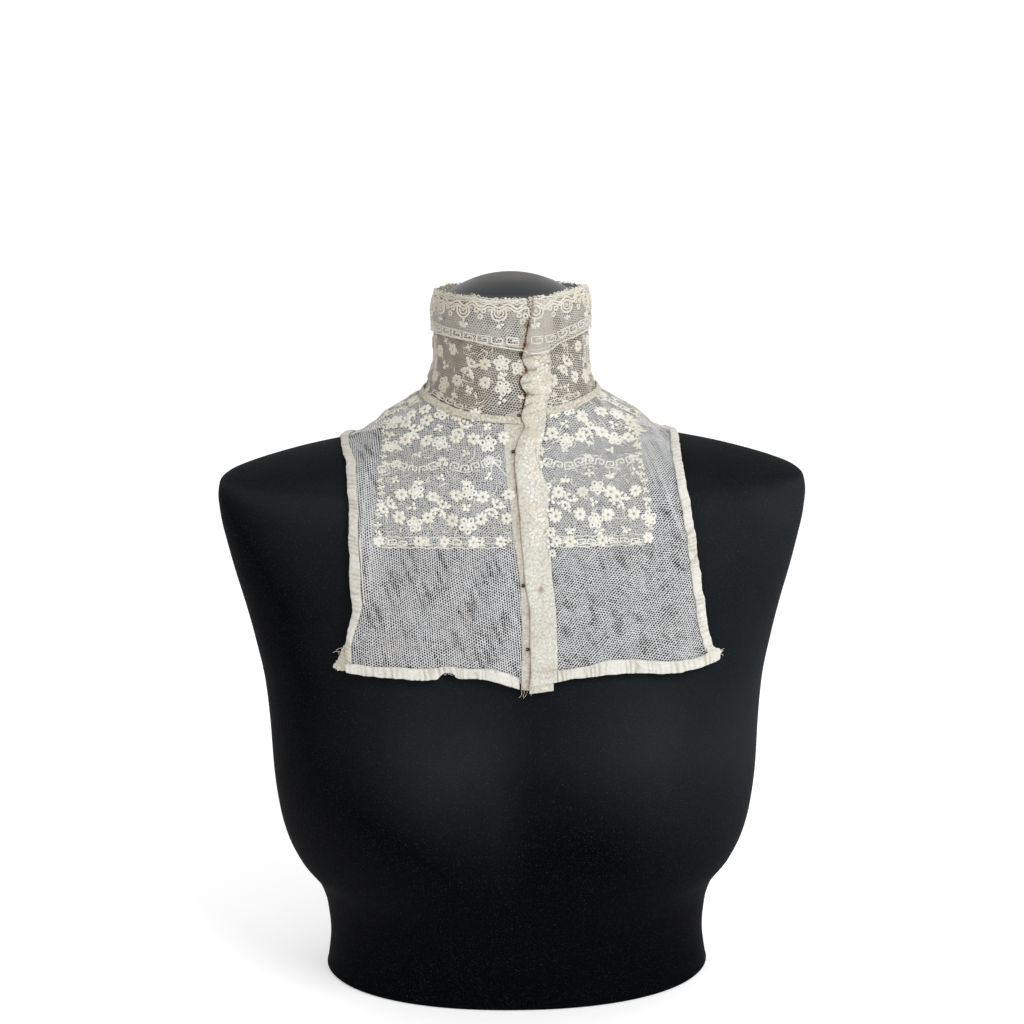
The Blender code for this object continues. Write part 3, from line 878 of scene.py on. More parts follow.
def leaf(flat, at, angle, long, wide, base, rng, points=9):
    """One satin-stitched leaf or petal."""
    t = np.linspace(0, 2 * math.pi, points, endpoint=False)
    shape = np.stack([long / 2 * np.cos(t), wide / 2 * np.sin(t) * (1 + 0.22 * np.cos(t))], axis=1)
    shape = turned(shape * (1 + rng.normal(0, 0.06, (points, 1))), angle)
    high = FLOSS * rng.uniform(0.8, 1.1)
    verts = [np.stack([at[0] + shape[:, 0] * s, at[1] + shape[:, 1] * s,
                       np.full(points, base + high * h)], axis=1)
             for s, h in ((1.0, 0.0), (0.82, 0.85))]
    verts.append([[at[0], at[1], base + high * 1.15]])
    # painted shade at the leaf's rim and a slight painted highlight at its crown; own is the leaf's random
    # tone
    own = rng.uniform(-0.1, 0.15)
    tone = np.concatenate([np.full(points, own + 0.22), np.full(points, own), [own - 0.05]])
    k = np.arange(points)
    quads = np.stack([k, np.roll(k, -1), np.roll(k, -1) + points, k + points], axis=1)
    tris = np.stack([k + points, np.roll(k, -1) + points, np.full(points, 2 * points)], axis=1)
    flat.add(np.concatenate(verts), quads, tris, tone)


def daisy(flat, at, size, base, rng, petals=8):
    """A solid flower: petals of uneven length round a dimple with a pinhole."""
    count = petals * 4
    t = np.linspace(0, 2 * math.pi, count, endpoint=False)
    which = np.round(t * petals / (2 * math.pi)).astype(int) % petals
    long = 1 + rng.normal(0, 0.09, petals)[which]
    lobes = np.abs(np.cos(petals * t / 2)) ** 0.45
    r = size / 2 * (0.72 + 0.32 * lobes * long) * (1 + rng.normal(0, 0.065, count))
    squash = rng.uniform(0.84, 1.0)
    shape = turned(np.stack([r * np.cos(t), r * np.sin(t) * squash], axis=1), rng.uniform(0, 6.28))
    n = count
    # painted shade: darker at the rim, in the valleys between the petals, in the dimple and round the
    # pinhole; own is the flower's random tone
    rings = [(1.0, 0.0, 0.30), (0.88, 0.9, 0.05), (0.60, 1.0, 0.0), (0.30, 0.55, 0.25),
             (0.17, 0.0, 1.1)]
    high = FLOSS * rng.uniform(1.1, 1.5)
    valley = 1 - 0.52 * (1 - lobes)
    verts, tone = [], []
    own = rng.uniform(-0.14, 0.16)
    for k, (s, h, dark) in enumerate(rings):
        lift = h * (valley if k in (1, 2) else 1.0)
        verts.append(np.stack([at[0] + shape[:, 0] * s, at[1] + shape[:, 1] * s,
                               base + high * lift + 0 * t], axis=1))
        tone.append(own + dark + (0.44 * (1 - lobes) if k in (1, 2) else 0 * t))
    quads = []
    for k in range(len(rings) - 1):
        a = np.arange(n) + k * n
        b = a + n
        quads.append(np.stack([a, np.roll(a, -1), np.roll(b, -1), b], axis=1))
    flat.add(np.concatenate(verts), np.concatenate(quads), tone=np.concatenate(tone))


def ring(flat, at, radius, width, base, rng, count=12, rise=None):
    t = np.linspace(0, 2 * math.pi, count, endpoint=False)
    r = radius * (1 + rng.normal(0, 0.05, count))
    path = np.stack([at[0] + r * np.cos(t), at[1] + r * np.sin(t)], axis=1)
    stroke(flat, path, width, rise or FLOSS, base, closed=True)


def eyelet(flat, at, size, base, rng, petals=5):
    """An open flower: rounded lobes, each with an eyelet, about a solid middle."""
    turn = rng.uniform(0, 6.28)
    for k in range(petals):
        a = turn + 2 * math.pi * (k + rng.normal(0, 0.04)) / petals
        r = size * 0.335
        spot = (at[0] + r * math.cos(a), at[1] + r * math.sin(a))
        ring(flat, spot, size * 0.142, size * 0.148, base, rng, 9, FLOSS * rng.uniform(0.85, 1.1))
    leaf(flat, at, rng.uniform(0, 3), size * 0.34, size * 0.32, base + 0.1 * MM, rng, 8)


def sprig(flat, at, angle, size, base, rng, leaves=3, stem=0.5):
    """A few small leaves on a short stem."""
    ahead = np.array([math.cos(angle), math.sin(angle)])
    at = np.asarray(at, float)
    if stem:
        stroke(flat, np.linspace(at - ahead * size * stem, at + ahead * size * 0.1, 4),
               0.75 * MM, FLOSS * 0.7, base)
    spread = {2: (-0.7, 0.7), 3: (-1.05, 0.0, 1.05), 4: (-1.6, -0.5, 0.5, 1.6),
              5: (-1.3, -0.65, 0.0, 0.65, 1.3)}[leaves]
    for a in spread:
        a = angle + a + rng.normal(0, 0.12)
        away = np.array([math.cos(a), math.sin(a)]) * size * 0.32
        leaf(flat, at + away, a, size * rng.uniform(0.44, 0.56), size * 0.30, base, rng)


def cross_leaf(flat, at, angle, size, base, rng):
    """The spray between two wreaths: four arms of bold leaves, forked at their ends."""
    at = np.asarray(at, float)
    for k, turn in enumerate((0.0, 1.30, math.pi, math.pi + 1.30)):
        arm = angle + turn + rng.normal(0, 0.08)
        ahead = np.array([math.cos(arm), math.sin(arm)])
        side = np.array([-ahead[1], ahead[0]]) * (1 if k % 2 else -1)
        for far, off, lean, long, wide in ((0.15, 0.0, 0.0, 0.26, 0.20), (0.33, 0.07, 0.5, 0.29, 0.23),
                                           (0.40, -0.13, -0.9, 0.26, 0.20),
                                           (0.53, 0.08, 0.7, 0.24, 0.19)):
            spot = at + size * (ahead * far * rng.uniform(0.93, 1.07) + side * off)
            leaf(flat, spot, arm + lean * (1 if k % 2 else -1) + rng.normal(0, 0.1),
                 size * long * rng.uniform(0.9, 1.12), size * wide * rng.uniform(0.9, 1.1), base, rng, 8)


def four_petals(flat, at, size, base, rng):
    """A small blossom of three or four round petals."""
    turn, count = rng.uniform(0, 6.28), int(rng.integers(3, 5))
    for k in range(count):
        a = turn + k * 2 * math.pi / count + rng.normal(0, 0.16)
        away = np.array([math.cos(a), math.sin(a)]) * size * 0.27 * rng.uniform(0.85, 1.15)
        leaf(flat, np.asarray(at) + away, a, size * rng.uniform(0.42, 0.54),
             size * rng.uniform(0.30, 0.37), base, rng, 8)


def on_line(line, s, t):
    """Place at distance s along a line and t above it."""
    step = np.hypot(*np.diff(line, axis=0).T)
    run = np.concatenate([[0], np.cumsum(step)])
    s = np.asarray(s, float)
    at = np.stack([np.interp(s, run, line[:, 0]), np.interp(s, run, line[:, 1])], axis=-1)
    ahead = np.stack([np.interp(s + 0.0004, run, line[:, 0]) - np.interp(s - 0.0004, run, line[:, 0]),
                      np.interp(s + 0.0004, run, line[:, 1]) - np.interp(s - 0.0004, run, line[:, 1])],
                     axis=-1)
    ahead = ahead / np.maximum(np.linalg.norm(ahead, axis=-1, keepdims=True), 1e-9)
    side = np.stack([-ahead[..., 1], ahead[..., 0]], axis=-1)
    return at + side * np.asarray(t, float)[..., None], run[-1]


def dense(points, step=0.55 * MM):
    points = np.asarray(points, float)
    out = [points[:1]]
    for a, b in zip(points[:-1], points[1:]):
        n = max(1, int(math.ceil(np.hypot(*(b - a)) / step)))
        out.append(a + (b - a) * np.linspace(0, 1, n + 1)[1:, None])
    return np.concatenate(out)


def key_row(flat, line, pitch, high, base, rng, skip=(), width=0.92 * MM, flip=1):
    """A running Greek key along a line, with soft corners."""
    total = on_line(line, 0.0, 0.0)[1]
    for k in range(int(total / pitch)):
        s0 = k * pitch
        if any(a <= s0 + pitch / 2 <= b for a, b in skip):
            continue
        shape = [(0.0, 0.0), (0.0, 1.0), (0.74, 1.0), (0.74, 0.30), (0.34, 0.30), (0.34, 0.66)]
        tall = high * rng.uniform(0.90, 1.10)
        pts = dense([(s0 + a * pitch, (b - 0.5) * tall * flip) for a, b in shape], 0.62 * MM)
        for _ in range(3):
            pts[1:-1] = (pts[:-2] + pts[1:-1] * 2 + pts[2:]) / 4
        at, _ = on_line(line, pts[:, 0], pts[:, 1])
        at = at + rng.normal(0, 0.07 * MM, at.shape)
        stroke(flat, at, width, FLOSS * 0.9, base)
        if rng.random() < 0.25:
            continue
        foot = dense([(s0 - 0.10 * pitch, -0.5 * high * flip),
                      (s0 + rng.uniform(0.75, 1.05) * pitch, -0.5 * high * flip)], 0.9 * MM)
        at, _ = on_line(line, foot[:, 0], foot[:, 1])
        stroke(flat, at + rng.normal(0, 0.10 * MM, at.shape), width * 0.85, FLOSS * 0.8, base)


def wisps(flat, free, low, high, count, rng, base):
    """Loose ends of thread that run between the motifs; places in millimetres."""
    for _ in range(count):
        u, v = rng.uniform(low[0], high[0]), rng.uniform(low[1], high[1])
        if not free(u, v):
            continue
        a, bend = rng.uniform(0, 2 * math.pi), rng.normal(0, 0.16)
        steps = int(rng.integers(5, 10))
        turn = a + bend * np.arange(steps)
        path = np.stack([u + np.cumsum(np.cos(turn)) * 0.75, v + np.cumsum(np.sin(turn)) * 0.75],
                        axis=1)
        if free(*path[-1]):
            stroke(flat, path * MM, rng.uniform(0.34, 0.62) * MM, FLOSS * rng.uniform(0.4, 0.8), base)


def fan(flat, at, angle, size, base, rng):
    """A small fan of petals over two scrolls."""
    at = np.asarray(at, float)
    for k in range(5):
        a = angle + (k - 2) * 0.42
        away = np.array([math.cos(a), math.sin(a)]) * size * 0.42
        leaf(flat, at + away, a, size * 0.50, size * 0.17, base, rng)
    for sign in (-1, 1):
        side = np.array([-math.sin(angle), math.cos(angle)]) * sign * size * 0.32
        ring(flat, at + side - 0.12 * size * np.array([math.cos(angle), math.sin(angle)]),
             size * 0.17, size * 0.15, base, rng, 9)


# --------------------------------------------------------------- materials ----
class Look:
    """A node-based material with short ways to its nodes."""

    def __init__(self, name, roughness=0.8, specular=0.3):
        self.mat = bpy.data.materials.new(name)
        self.mat.use_nodes = True
        self.tree = self.mat.node_tree
        self.shader = self.tree.nodes["Principled BSDF"]
        self.shader.inputs["Roughness"].default_value = roughness
        self.shader.inputs["Specular IOR Level"].default_value = specular

    def node(self, kind, inputs=None, **settings):
        made = self.tree.nodes.new("ShaderNode" + kind)
        for key, value in settings.items():
            setattr(made, key, value)
        for key, value in (inputs or {}).items():
            if hasattr(value, "is_output"):
                self.tree.links.new(value, made.inputs[key])
            else:
                made.inputs[key].default_value = value
        return made

    def link(self, value, socket):
        self.tree.links.new(value, self.shader.inputs[socket])

    def place(self):
        return self.node("TexCoord").outputs["Object"]

    def noise(self, scale, detail=2.0, rough=0.5, vector=None, stretch=None):
        vector = vector or self.place()
        if stretch:
            vector = self.node("Mapping", {"Vector": vector, "Scale": stretch}).outputs["Vector"]
        return self.node("TexNoise", {"Vector": vector, "Scale": scale, "Detail": detail,
                                      "Roughness": rough}).outputs["Fac"]

    def math(self, what, a, b=0.0, c=None, clamp=False):
        values = {0: a, 1: b}
        if c is not None:
            values[2] = c
        return self.node("Math", values, operation=what, use_clamp=clamp).outputs[0]

    def between(self, value, low, high, to_low=0.0, to_high=1.0):
        return self.node("MapRange", {"Value": value, "From Min": low, "From Max": high,
                                      "To Min": to_low, "To Max": to_high}).outputs["Result"]

    def mix(self, share, a, b, blend="MIX"):
        made = self.node("Mix", data_type="RGBA", blend_type=blend)
        for slot, value in ((0, share), (6, a), (7, b)):
            if hasattr(value, "is_output"):
                self.tree.links.new(value, made.inputs[slot])
            else:
                made.inputs[slot].default_value = (*value, 1.0) if slot else value
        return made.outputs[2]

    def attribute(self, name):
        return self.node("Attribute", attribute_name=name).outputs["Fac"]

    def cut(self):
        return self.node("UVMap", uv_map="cut_mm").outputs["UV"]

    def bump(self, height, strength, distance, normal=None):
        values = {"Height": height, "Strength": strength, "Distance": distance}
        if normal is not None:
            values["Normal"] = normal
        return self.node("Bump", values).outputs["Normal"]


CLEAN = (0.760, 0.755, 0.700)
AGED = (0.560, 0.500, 0.385)


def thread_look(name, clean, aged, bump_size, strength=0.35, rough=0.85):
    """Cotton thread: uneven ivory, darker where it is old or handled, and where shade is painted on: the
    motifs' rims and hollows, below the turned band, and a painted gap shadow by the opening.
    """
    look = Look(name, rough, 0.25)
    age_and_shade = look.attribute("age_and_shade")
    blot = look.between(look.noise(46.0, 4.0, 0.6), 0.30, 0.72)
    share = look.math("MULTIPLY_ADD", blot, 0.30, look.math("MULTIPLY", age_and_shade, 0.9), clamp=True)
    colour = look.mix(share, clean, aged)
    fine = look.between(look.noise(900.0, 2.0), 0.3, 0.7, 0.90, 1.04)
    tint = look.node("CombineColor", {"Red": fine, "Green": fine, "Blue": fine}).outputs["Color"]
    colour = look.mix(1.0, colour, tint, "MULTIPLY")
    # rusty stains and the painted gap shadow by the opening, both in a dark red-brown
    rust_and_gap_shadow = look.attribute("stain_and_gap_shadow")
    colour = look.mix(rust_and_gap_shadow, colour, (0.19, 0.085, 0.035))
    look.link(colour, "Base Color")
    look.link(look.bump(look.noise(1.0 / bump_size, 2.0), strength, 0.0004), "Normal")
    look.shader.inputs["Sheen Weight"].default_value = 0.08
    look.shader.inputs["Sheen Roughness"].default_value = 0.5
    return look.mat


def tape_look(name, clean, aged, mottle=0.16, relief_mm=0.5, uneven=0.20):
    """Cotton tape: a nubbly plain weave, with wear, rusty stains, painted shade in its creases, tucks and
    pleats, and a painted gap shadow by the opening.
    """
    look = Look(name, 0.88, 0.22)
    cut = look.cut()
    age_and_shade = look.attribute("age_and_shade")
    blot = look.between(look.noise(60.0, 4.0, 0.62), 0.32, 0.75)
    fleck = look.between(look.noise(330.0, 3.0, 0.60), 0.36, 0.68)
    blot = look.math("MULTIPLY_ADD", fleck, 0.9, blot)
    share = look.math("MULTIPLY_ADD", blot, uneven, look.math("MULTIPLY", age_and_shade, 0.9), clamp=True)
    colour = look.mix(share, clean, aged)
    across = look.node("TexWave", {"Vector": cut, "Scale": 0.36, "Distortion": 2.2,
                                   "Detail": 2.0, "Detail Scale": 1.6},
                       wave_type="BANDS", bands_direction="X").outputs["Fac"]
    along = look.node("TexWave", {"Vector": cut, "Scale": 0.36, "Distortion": 2.2,
                                  "Detail": 2.0, "Detail Scale": 1.6},
                      wave_type="BANDS", bands_direction="Y").outputs["Fac"]
    weave = look.math("MAXIMUM", across, along)
    slub = look.noise(0.62, 3.0, 0.62, vector=cut)
    nub = look.node("TexVoronoi", {"Vector": cut, "Scale": 0.62, "Randomness": 0.9},
                    feature="F1").outputs["Distance"]
    dots = look.between(slub, 0.34, 0.56, 1.0 - mottle, 1.03)
    holes = look.between(nub, 0.25, 0.75, 1.02, 1.0 - 0.6 * mottle)
    grain = look.math("MULTIPLY", dots, look.between(weave, 0.0, 1.0, 0.92, 1.02))
    grain = look.math("MULTIPLY", grain, holes)
    tint = look.node("CombineColor", {"Red": grain, "Green": look.math("POWER", grain, 1.03),
                                      "Blue": look.math("POWER", grain, 1.25)}).outputs["Color"]
    colour = look.mix(1.0, colour, tint, "MULTIPLY")
    # rusty stains and the painted gap shadow by the opening, both in a dark red-brown, mottled
    rust_and_gap_shadow = look.attribute("stain_and_gap_shadow")
    mottled = look.math("MULTIPLY", rust_and_gap_shadow, look.between(look.noise(420.0, 3.0), 0.30, 0.62, 0.25, 1.2),
                        clamp=True)
    colour = look.mix(mottled, colour, (0.20, 0.095, 0.040))
    look.link(colour, "Base Color")
    relief = look.math("MULTIPLY_ADD", weave, 0.35, look.math("MULTIPLY", slub, 1.2))
    relief = look.math("MULTIPLY_ADD", nub, -0.7, relief)
    look.link(look.bump(relief, 0.8, relief_mm * MM), "Normal")
    look.shader.inputs["Sheen Weight"].default_value = 0.10
    look.shader.inputs["Sheen Roughness"].default_value = 0.5
    return look.mat


tulle_look = thread_look("tulle_thread", (0.578, 0.590, 0.605), (0.505, 0.495, 0.460), 0.0005)
lace_look = thread_look("lace_thread", (0.610, 0.612, 0.600), (0.470, 0.430, 0.355), 0.0005)
floss_look = thread_look("lace_floss", (0.850, 0.848, 0.790), (0.610, 0.560, 0.460), 0.0004, 0.5)
cotton_look = tape_look("cotton_tape", (0.735, 0.735, 0.690), (0.470, 0.425, 0.340), 0.08, 0.3)
overlap_look = tape_look("overlap_tape", (0.768, 0.762, 0.702), (0.440, 0.390, 0.300), 0.24, 0.55, 0.20)
trim_look = tape_look("trim_tape", (0.800, 0.785, 0.710), (0.520, 0.460, 0.360), 0.36, 0.6)


def jersey_look():
    """Black knitted jersey: fine ribs, lint, and painted light: lighter higher up and where it faces up and
    to the right, as if lit from the upper right.
    """
    look = Look("black_jersey", 0.75, 0.02)
    place = look.place()
    # painted light from the upper right: lighter where the knit faces up and to the right and higher up,
    # less on the shoulders' tops
    up = look.node("SeparateXYZ", {"Vector": look.node("NewGeometry").outputs["Normal"]})
    across = look.between(up.outputs["Z"], 0.28, 0.62, 0.42, -0.16)
    faces_light = look.math("MULTIPLY_ADD", up.outputs["X"], across,
                       look.math("MULTIPLY", up.outputs["Z"], 0.75))
    painted_light = look.between(faces_light, -0.26, 0.42)
    height = look.node("SeparateXYZ", {"Vector": place}).outputs["Z"]
    upper = look.between(height, 0.055, 0.185)
    painted_light = look.math("MULTIPLY", painted_light, upper)
    painted_light = look.math("MULTIPLY", painted_light, look.between(up.outputs["Z"], 0.40, 0.80, 1.0, 0.42))
    cloudy = look.between(look.noise(11.0, 3.0), 0.3, 0.7, 0.70, 1.20)
    # the painted light turns the shaded colour into the lit one, unevenly
    colour = look.mix(look.math("MULTIPLY", painted_light, cloudy), (0.0011, 0.0013, 0.0019),
                      (0.0152, 0.0182, 0.0207))
    lint = look.between(look.noise(1500.0, 1.0), 0.62, 0.78)
    colour = look.mix(look.math("MULTIPLY", lint, 0.30), colour, (0.075, 0.085, 0.095))
    look.link(colour, "Base Color")
    ribs = look.node("TexWave", {"Vector": place, "Scale": 210.0, "Distortion": 1.2,
                                 "Detail": 2.0, "Detail Scale": 3.0},
                     wave_type="BANDS", bands_direction="X").outputs["Fac"]
    rows = look.node("TexWave", {"Vector": place, "Scale": 260.0, "Distortion": 1.5,
                                 "Detail": 2.0, "Detail Scale": 3.0},
                     wave_type="BANDS", bands_direction="Z").outputs["Fac"]
    knit = look.math("ADD", look.math("MULTIPLY", ribs, 0.6), look.math("MULTIPLY", rows, 0.5))
    knit = look.math("MULTIPLY_ADD", look.noise(1300.0, 2.0), 0.8, knit)
    look.link(look.bump(knit, 0.35, 0.0004), "Normal")
    look.shader.inputs["Sheen Weight"].default_value = 0.004
    look.shader.inputs["Sheen Roughness"].default_value = 0.35
    look.shader.inputs["Sheen Tint"].default_value = (0.75, 0.85, 1.0, 1.0)
    return look.mat


def cap_look():
    """Satin black moulded cap: a duller top, painted lighter as if lit from above, and fine turning lines.
    """
    look = Look("neck_cap", 0.42, 0.28)
    place = look.place()
    up = look.node("SeparateXYZ", {"Vector": look.node("NewGeometry").outputs["Normal"]}).outputs["Z"]
    # painted light: where the top faces up it gets a lighter colour, as if lit from above; it is also
    # rougher
    top = look.between(up, 0.93, 0.985)
    cloud = look.between(look.noise(60.0, 4.0, 0.6), 0.3, 0.7, 0.8, 1.15)
    colour = look.mix(look.math("MULTIPLY", top, cloud), (0.020, 0.021, 0.022),
                      (0.094, 0.092, 0.081))
    look.link(colour, "Base Color")
    look.link(look.between(top, 0.0, 1.0, 0.36, 0.62), "Roughness")
    rings = look.node("TexWave", {"Vector": place, "Scale": 160.0, "Distortion": 0.2},
                      wave_type="RINGS", rings_direction="Z").outputs["Fac"]
    grain = look.math("MULTIPLY_ADD", look.noise(700.0, 2.0), 0.6, look.math("MULTIPLY", rings, 0.25))
    look.link(look.bump(grain, 0.12, 0.0003), "Normal")
    return look.mat


def hook_look():
    """Japanned wire, worn brown in places."""
    look = Look("hook_wire", 0.40, 0.5)
    worn = look.between(look.noise(900.0, 3.0), 0.50, 0.68)
    look.link(look.mix(worn, (0.010, 0.009, 0.008), (0.060, 0.033, 0.018)), "Base Color")
    look.link(look.between(worn, 0.0, 1.0, 0.34, 0.75), "Roughness")
    look.shader.inputs["Metallic"].default_value = 0.6
    look.link(look.bump(look.noise(1500.0, 2.0), 0.2, 0.0002), "Normal")
    return look.mat


def floor_look():
    look = Look("pale_floor", 0.9, 0.1)
    tone = look.between(look.noise(1.2, 3.0), 0.3, 0.7, 0.925, 0.945)
    look.link(look.node("CombineColor", {"Red": tone, "Green": tone, "Blue": tone}).outputs["Color"],
              "Base Color")
    look.link(look.bump(look.noise(60.0, 2.0), 0.03, 0.0005), "Normal")
    look.shader.inputs["Emission Color"].default_value = (1.0, 1.0, 1.0, 1.0)
    look.shader.inputs["Emission Strength"].default_value = 0.34
    return look.mat


jersey, cap_black, wire_black = jersey_look(), cap_look(), hook_look()


# ---------------------------------------------------------------- building ----
home = bpy.data.collections.new("tulle_plastron_looks")
bpy.context.scene.collection.children.link(home)


def piece(name, verts, quads=None, tris=None, uv=None, cut=None, masks=None, mats=(),
          smooth_faces=True, body="root"):
    """A mesh piece from arrays, which rides on the one body."""
    verts = np.asarray(verts, float).reshape(-1, 3)
    quads = np.zeros((0, 4), int) if quads is None else np.asarray(quads)
    tris = np.zeros((0, 3), int) if tris is None else np.asarray(tris)
    mesh = bpy.data.meshes.new(name)
    mesh.vertices.add(len(verts))
    mesh.vertices.foreach_set("co", verts.astype(np.float32).ravel())
    loops = np.concatenate([quads.ravel(), tris.ravel()]).astype(np.int32)
    starts = np.concatenate([np.arange(len(quads)) * 4,
                             len(quads) * 4 + np.arange(len(tris)) * 3]).astype(np.int32)
    mesh.loops.add(len(loops))
    mesh.loops.foreach_set("vertex_index", loops)
    mesh.polygons.add(len(starts))
    mesh.polygons.foreach_set("loop_start", starts)
    mesh.polygons.foreach_set("use_smooth", np.full(len(starts), smooth_faces))
    mesh.update(calc_edges=True)
    if uv is not None:
        low, high = uv.min(0), uv.max(0)
        flat_uv = 0.01 + 0.98 * (uv - low) / np.maximum(high - low, 1e-9)
        layer = mesh.uv_layers.new(name="OFBake")
        layer.data.foreach_set("uv", flat_uv[loops].astype(np.float32).ravel())
    if cut is not None:
        layer = mesh.uv_layers.new(name="cut_mm")
        layer.data.foreach_set("uv", (cut[loops] * 1000).astype(np.float32).ravel())
    # the two point attributes carry yellowing, wear and stains together with painted shade and a painted
    # gap shadow
    for key in ("age_and_shade", "stain_and_gap_shadow"):
        values = np.clip((masks or {}).get(key, np.zeros(len(verts))), 0, 1)
        mesh.attributes.new(key, "FLOAT", "POINT").data.foreach_set(
            "value", np.asarray(values, np.float32))
    for mat in mats:
        mesh.materials.append(mat)
    ob = bpy.data.objects.new(name, mesh)
    home.objects.link(ob)
    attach(ob, body)
    return ob


def spots(p, table):
    """Stains: soft round places (x, y, z in millimetres, size, strength) on the cloth."""
    total = 0.0
    for x, z, size, strength in table:
        far = np.hypot(p[..., 0] - x * MM, (p[..., 2] - z * MM))
        total = total + strength * np.exp(-0.5 * (far / (size * MM)) ** 2)
    return total


# Rust from the hooks and the spots on the overlap: x, height, size, strength.
RUST = [(9.4, 462.0, 1.3, 0.9), (10.2, 474.5, 1.8, 0.9), (10.4, 445.6, 1.7, 1.0),
        (9.8, 430.6, 1.6, 0.9), (9.0, 422.5, 1.2, 0.5), (7.6, 410.0, 1.0, 0.5),
        (3.0, 394.0, 0.9, 0.4), (17.6, 313.2, 1.3, 0.75), (17.9, 311.6, 0.8, 0.6),
        (22.6, 262.6, 2.6, 0.22), (18.5, 288.0, 3.2, 0.08), (24.0, 442.0, 3.0, 0.10),
        (27.5, 474.0, 2.6, 0.30), (26.0, 457.0, 1.5, 0.2)]


def age_and_shade_of(p, base):
    """Yellowing and handling, more by the opening; darker and browner towards the left, most on the collar;
    and a painted shadow below the turned band.
    """
    x, y, z = p[..., 0], p[..., 1], p[..., 2]
    tone = base + 0.10 * waves(x, z, 0.050, 51) + 0.06 * waves(x, z + y, 0.012, 52)
    high = ramp(z, 0.405, 0.430)
    left = ramp(-x, 0.010, 0.050)
    tone = tone + high * (0.13 + 0.40 * left) + 0.11 * ramp(z, 0.470, 0.492)
    tone = tone + 0.30 * ramp(np.abs(x), 0.070, 0.085) * ramp(z, 0.380, 0.405)
    tone = tone + 0.10 * left * (1 - high)
    by_slit = np.exp(-0.5 * ((x - slit_left(z)) / 0.003) ** 2) * (y < 0)
    angle = np.degrees(np.arctan2(x, -y))
    # painted shadow: darker in a band just below the turned band's lower edge, more at the left
    under = rim_at(angle, "band") - z - 1.2 * MM
    shade = np.exp(-(under / (2.2 * MM)) ** 2) * (y < 0.02) * (z > 0.43) * (z < rim_at(angle, "band"))
    return tone + 0.22 * by_slit + shade * (0.30 + 0.30 * left)


def masks_for(p, base, rust_and_gap_shadow=1.0):
    x, z = p[..., 0], p[..., 2]
    # painted gap shadow: a thin dark brown line just left of the opening's edge, where the overlap's edge
    # shades the cloth below, partly brown staining; the round spots are rusty stains
    line = np.exp(-((x - slit_left(z) + 0.35 * MM) / (0.55 * MM)) ** 2)
    line = line * (0.50 + 0.30 * waves(z, 0 * z, 0.012, 53) + 0.25 * ramp(z, 0.415, 0.43))
    stain_and_gap_shadow = (spots(p, RUST) * rust_and_gap_shadow + np.maximum(line, 0) * min(rust_and_gap_shadow * 1.2, 1)) * (p[..., 1] < 0)
    return {"age_and_shade": age_and_shade_of(p, base), "stain_and_gap_shadow": np.clip(stain_and_gap_shadow, 0, 1)}


def lace_piece(name, flat, chart, mat, base_age, rust_and_gap_shadow=0.5):
    verts, quads, tris = flat.arrays()
    place, p = chart.lay(verts[:, 0], verts[:, 1], verts[:, 2])
    masks = masks_for(p, base_age, rust_and_gap_shadow)
    # adds the motifs' painted shade and their own tone
    masks["age_and_shade"] = masks["age_and_shade"] + np.concatenate(flat.tones)
    return piece(name, place + HOME, quads, tris, uv=verts[:, :2], masks=masks, mats=[mat])


def seam_top(angle):
    """Upper edge of the neck tape, by angle from -180 to 180."""
    at = np.array([-180, -130, -90, -65, -44, -32, -15, 6.4, 12, 24, 50, 67, 90, 130, 180.0])
    z = np.array([.4300, .4292, .4272, .4252, .4212, .4190, .4172, .4158, .4180, .4205, .4240,
                  .4262, .4276, .4292, .4300])
    return smooth(at, z, (np.asarray(angle, float) + 180) % 360 - 180)


def tape_fall(angle):
    return 0.0050 * (1 - 0.25 * np.abs(np.sin(np.radians(angle))) ** 2)


def angle_of(x, z):
    """Angle round the neck of a place in front, in degrees."""
    return np.degrees(np.arctan2(x, -cloth_y(x, z)))


# The underlap's outer edge as it shows left of the opening, by height.
UNDER = """
height left
0.236  0.0044
0.251  0.0046
0.282  0.0055
0.313  0.0046
0.331  0.0028
0.3495 -0.0001
0.367  -0.0012
0.379  -0.0036
0.393  -0.0041
0.408  -0.0046
0.4165 -0.0042
0.4215 0.0094
0.4300 0.0100
0.4600 0.0102
0.4800 0.0130
0.4960 0.0155
"""
under = read(UNDER)


def under_left(z):
    return smooth(under["height"], under["left"], z)


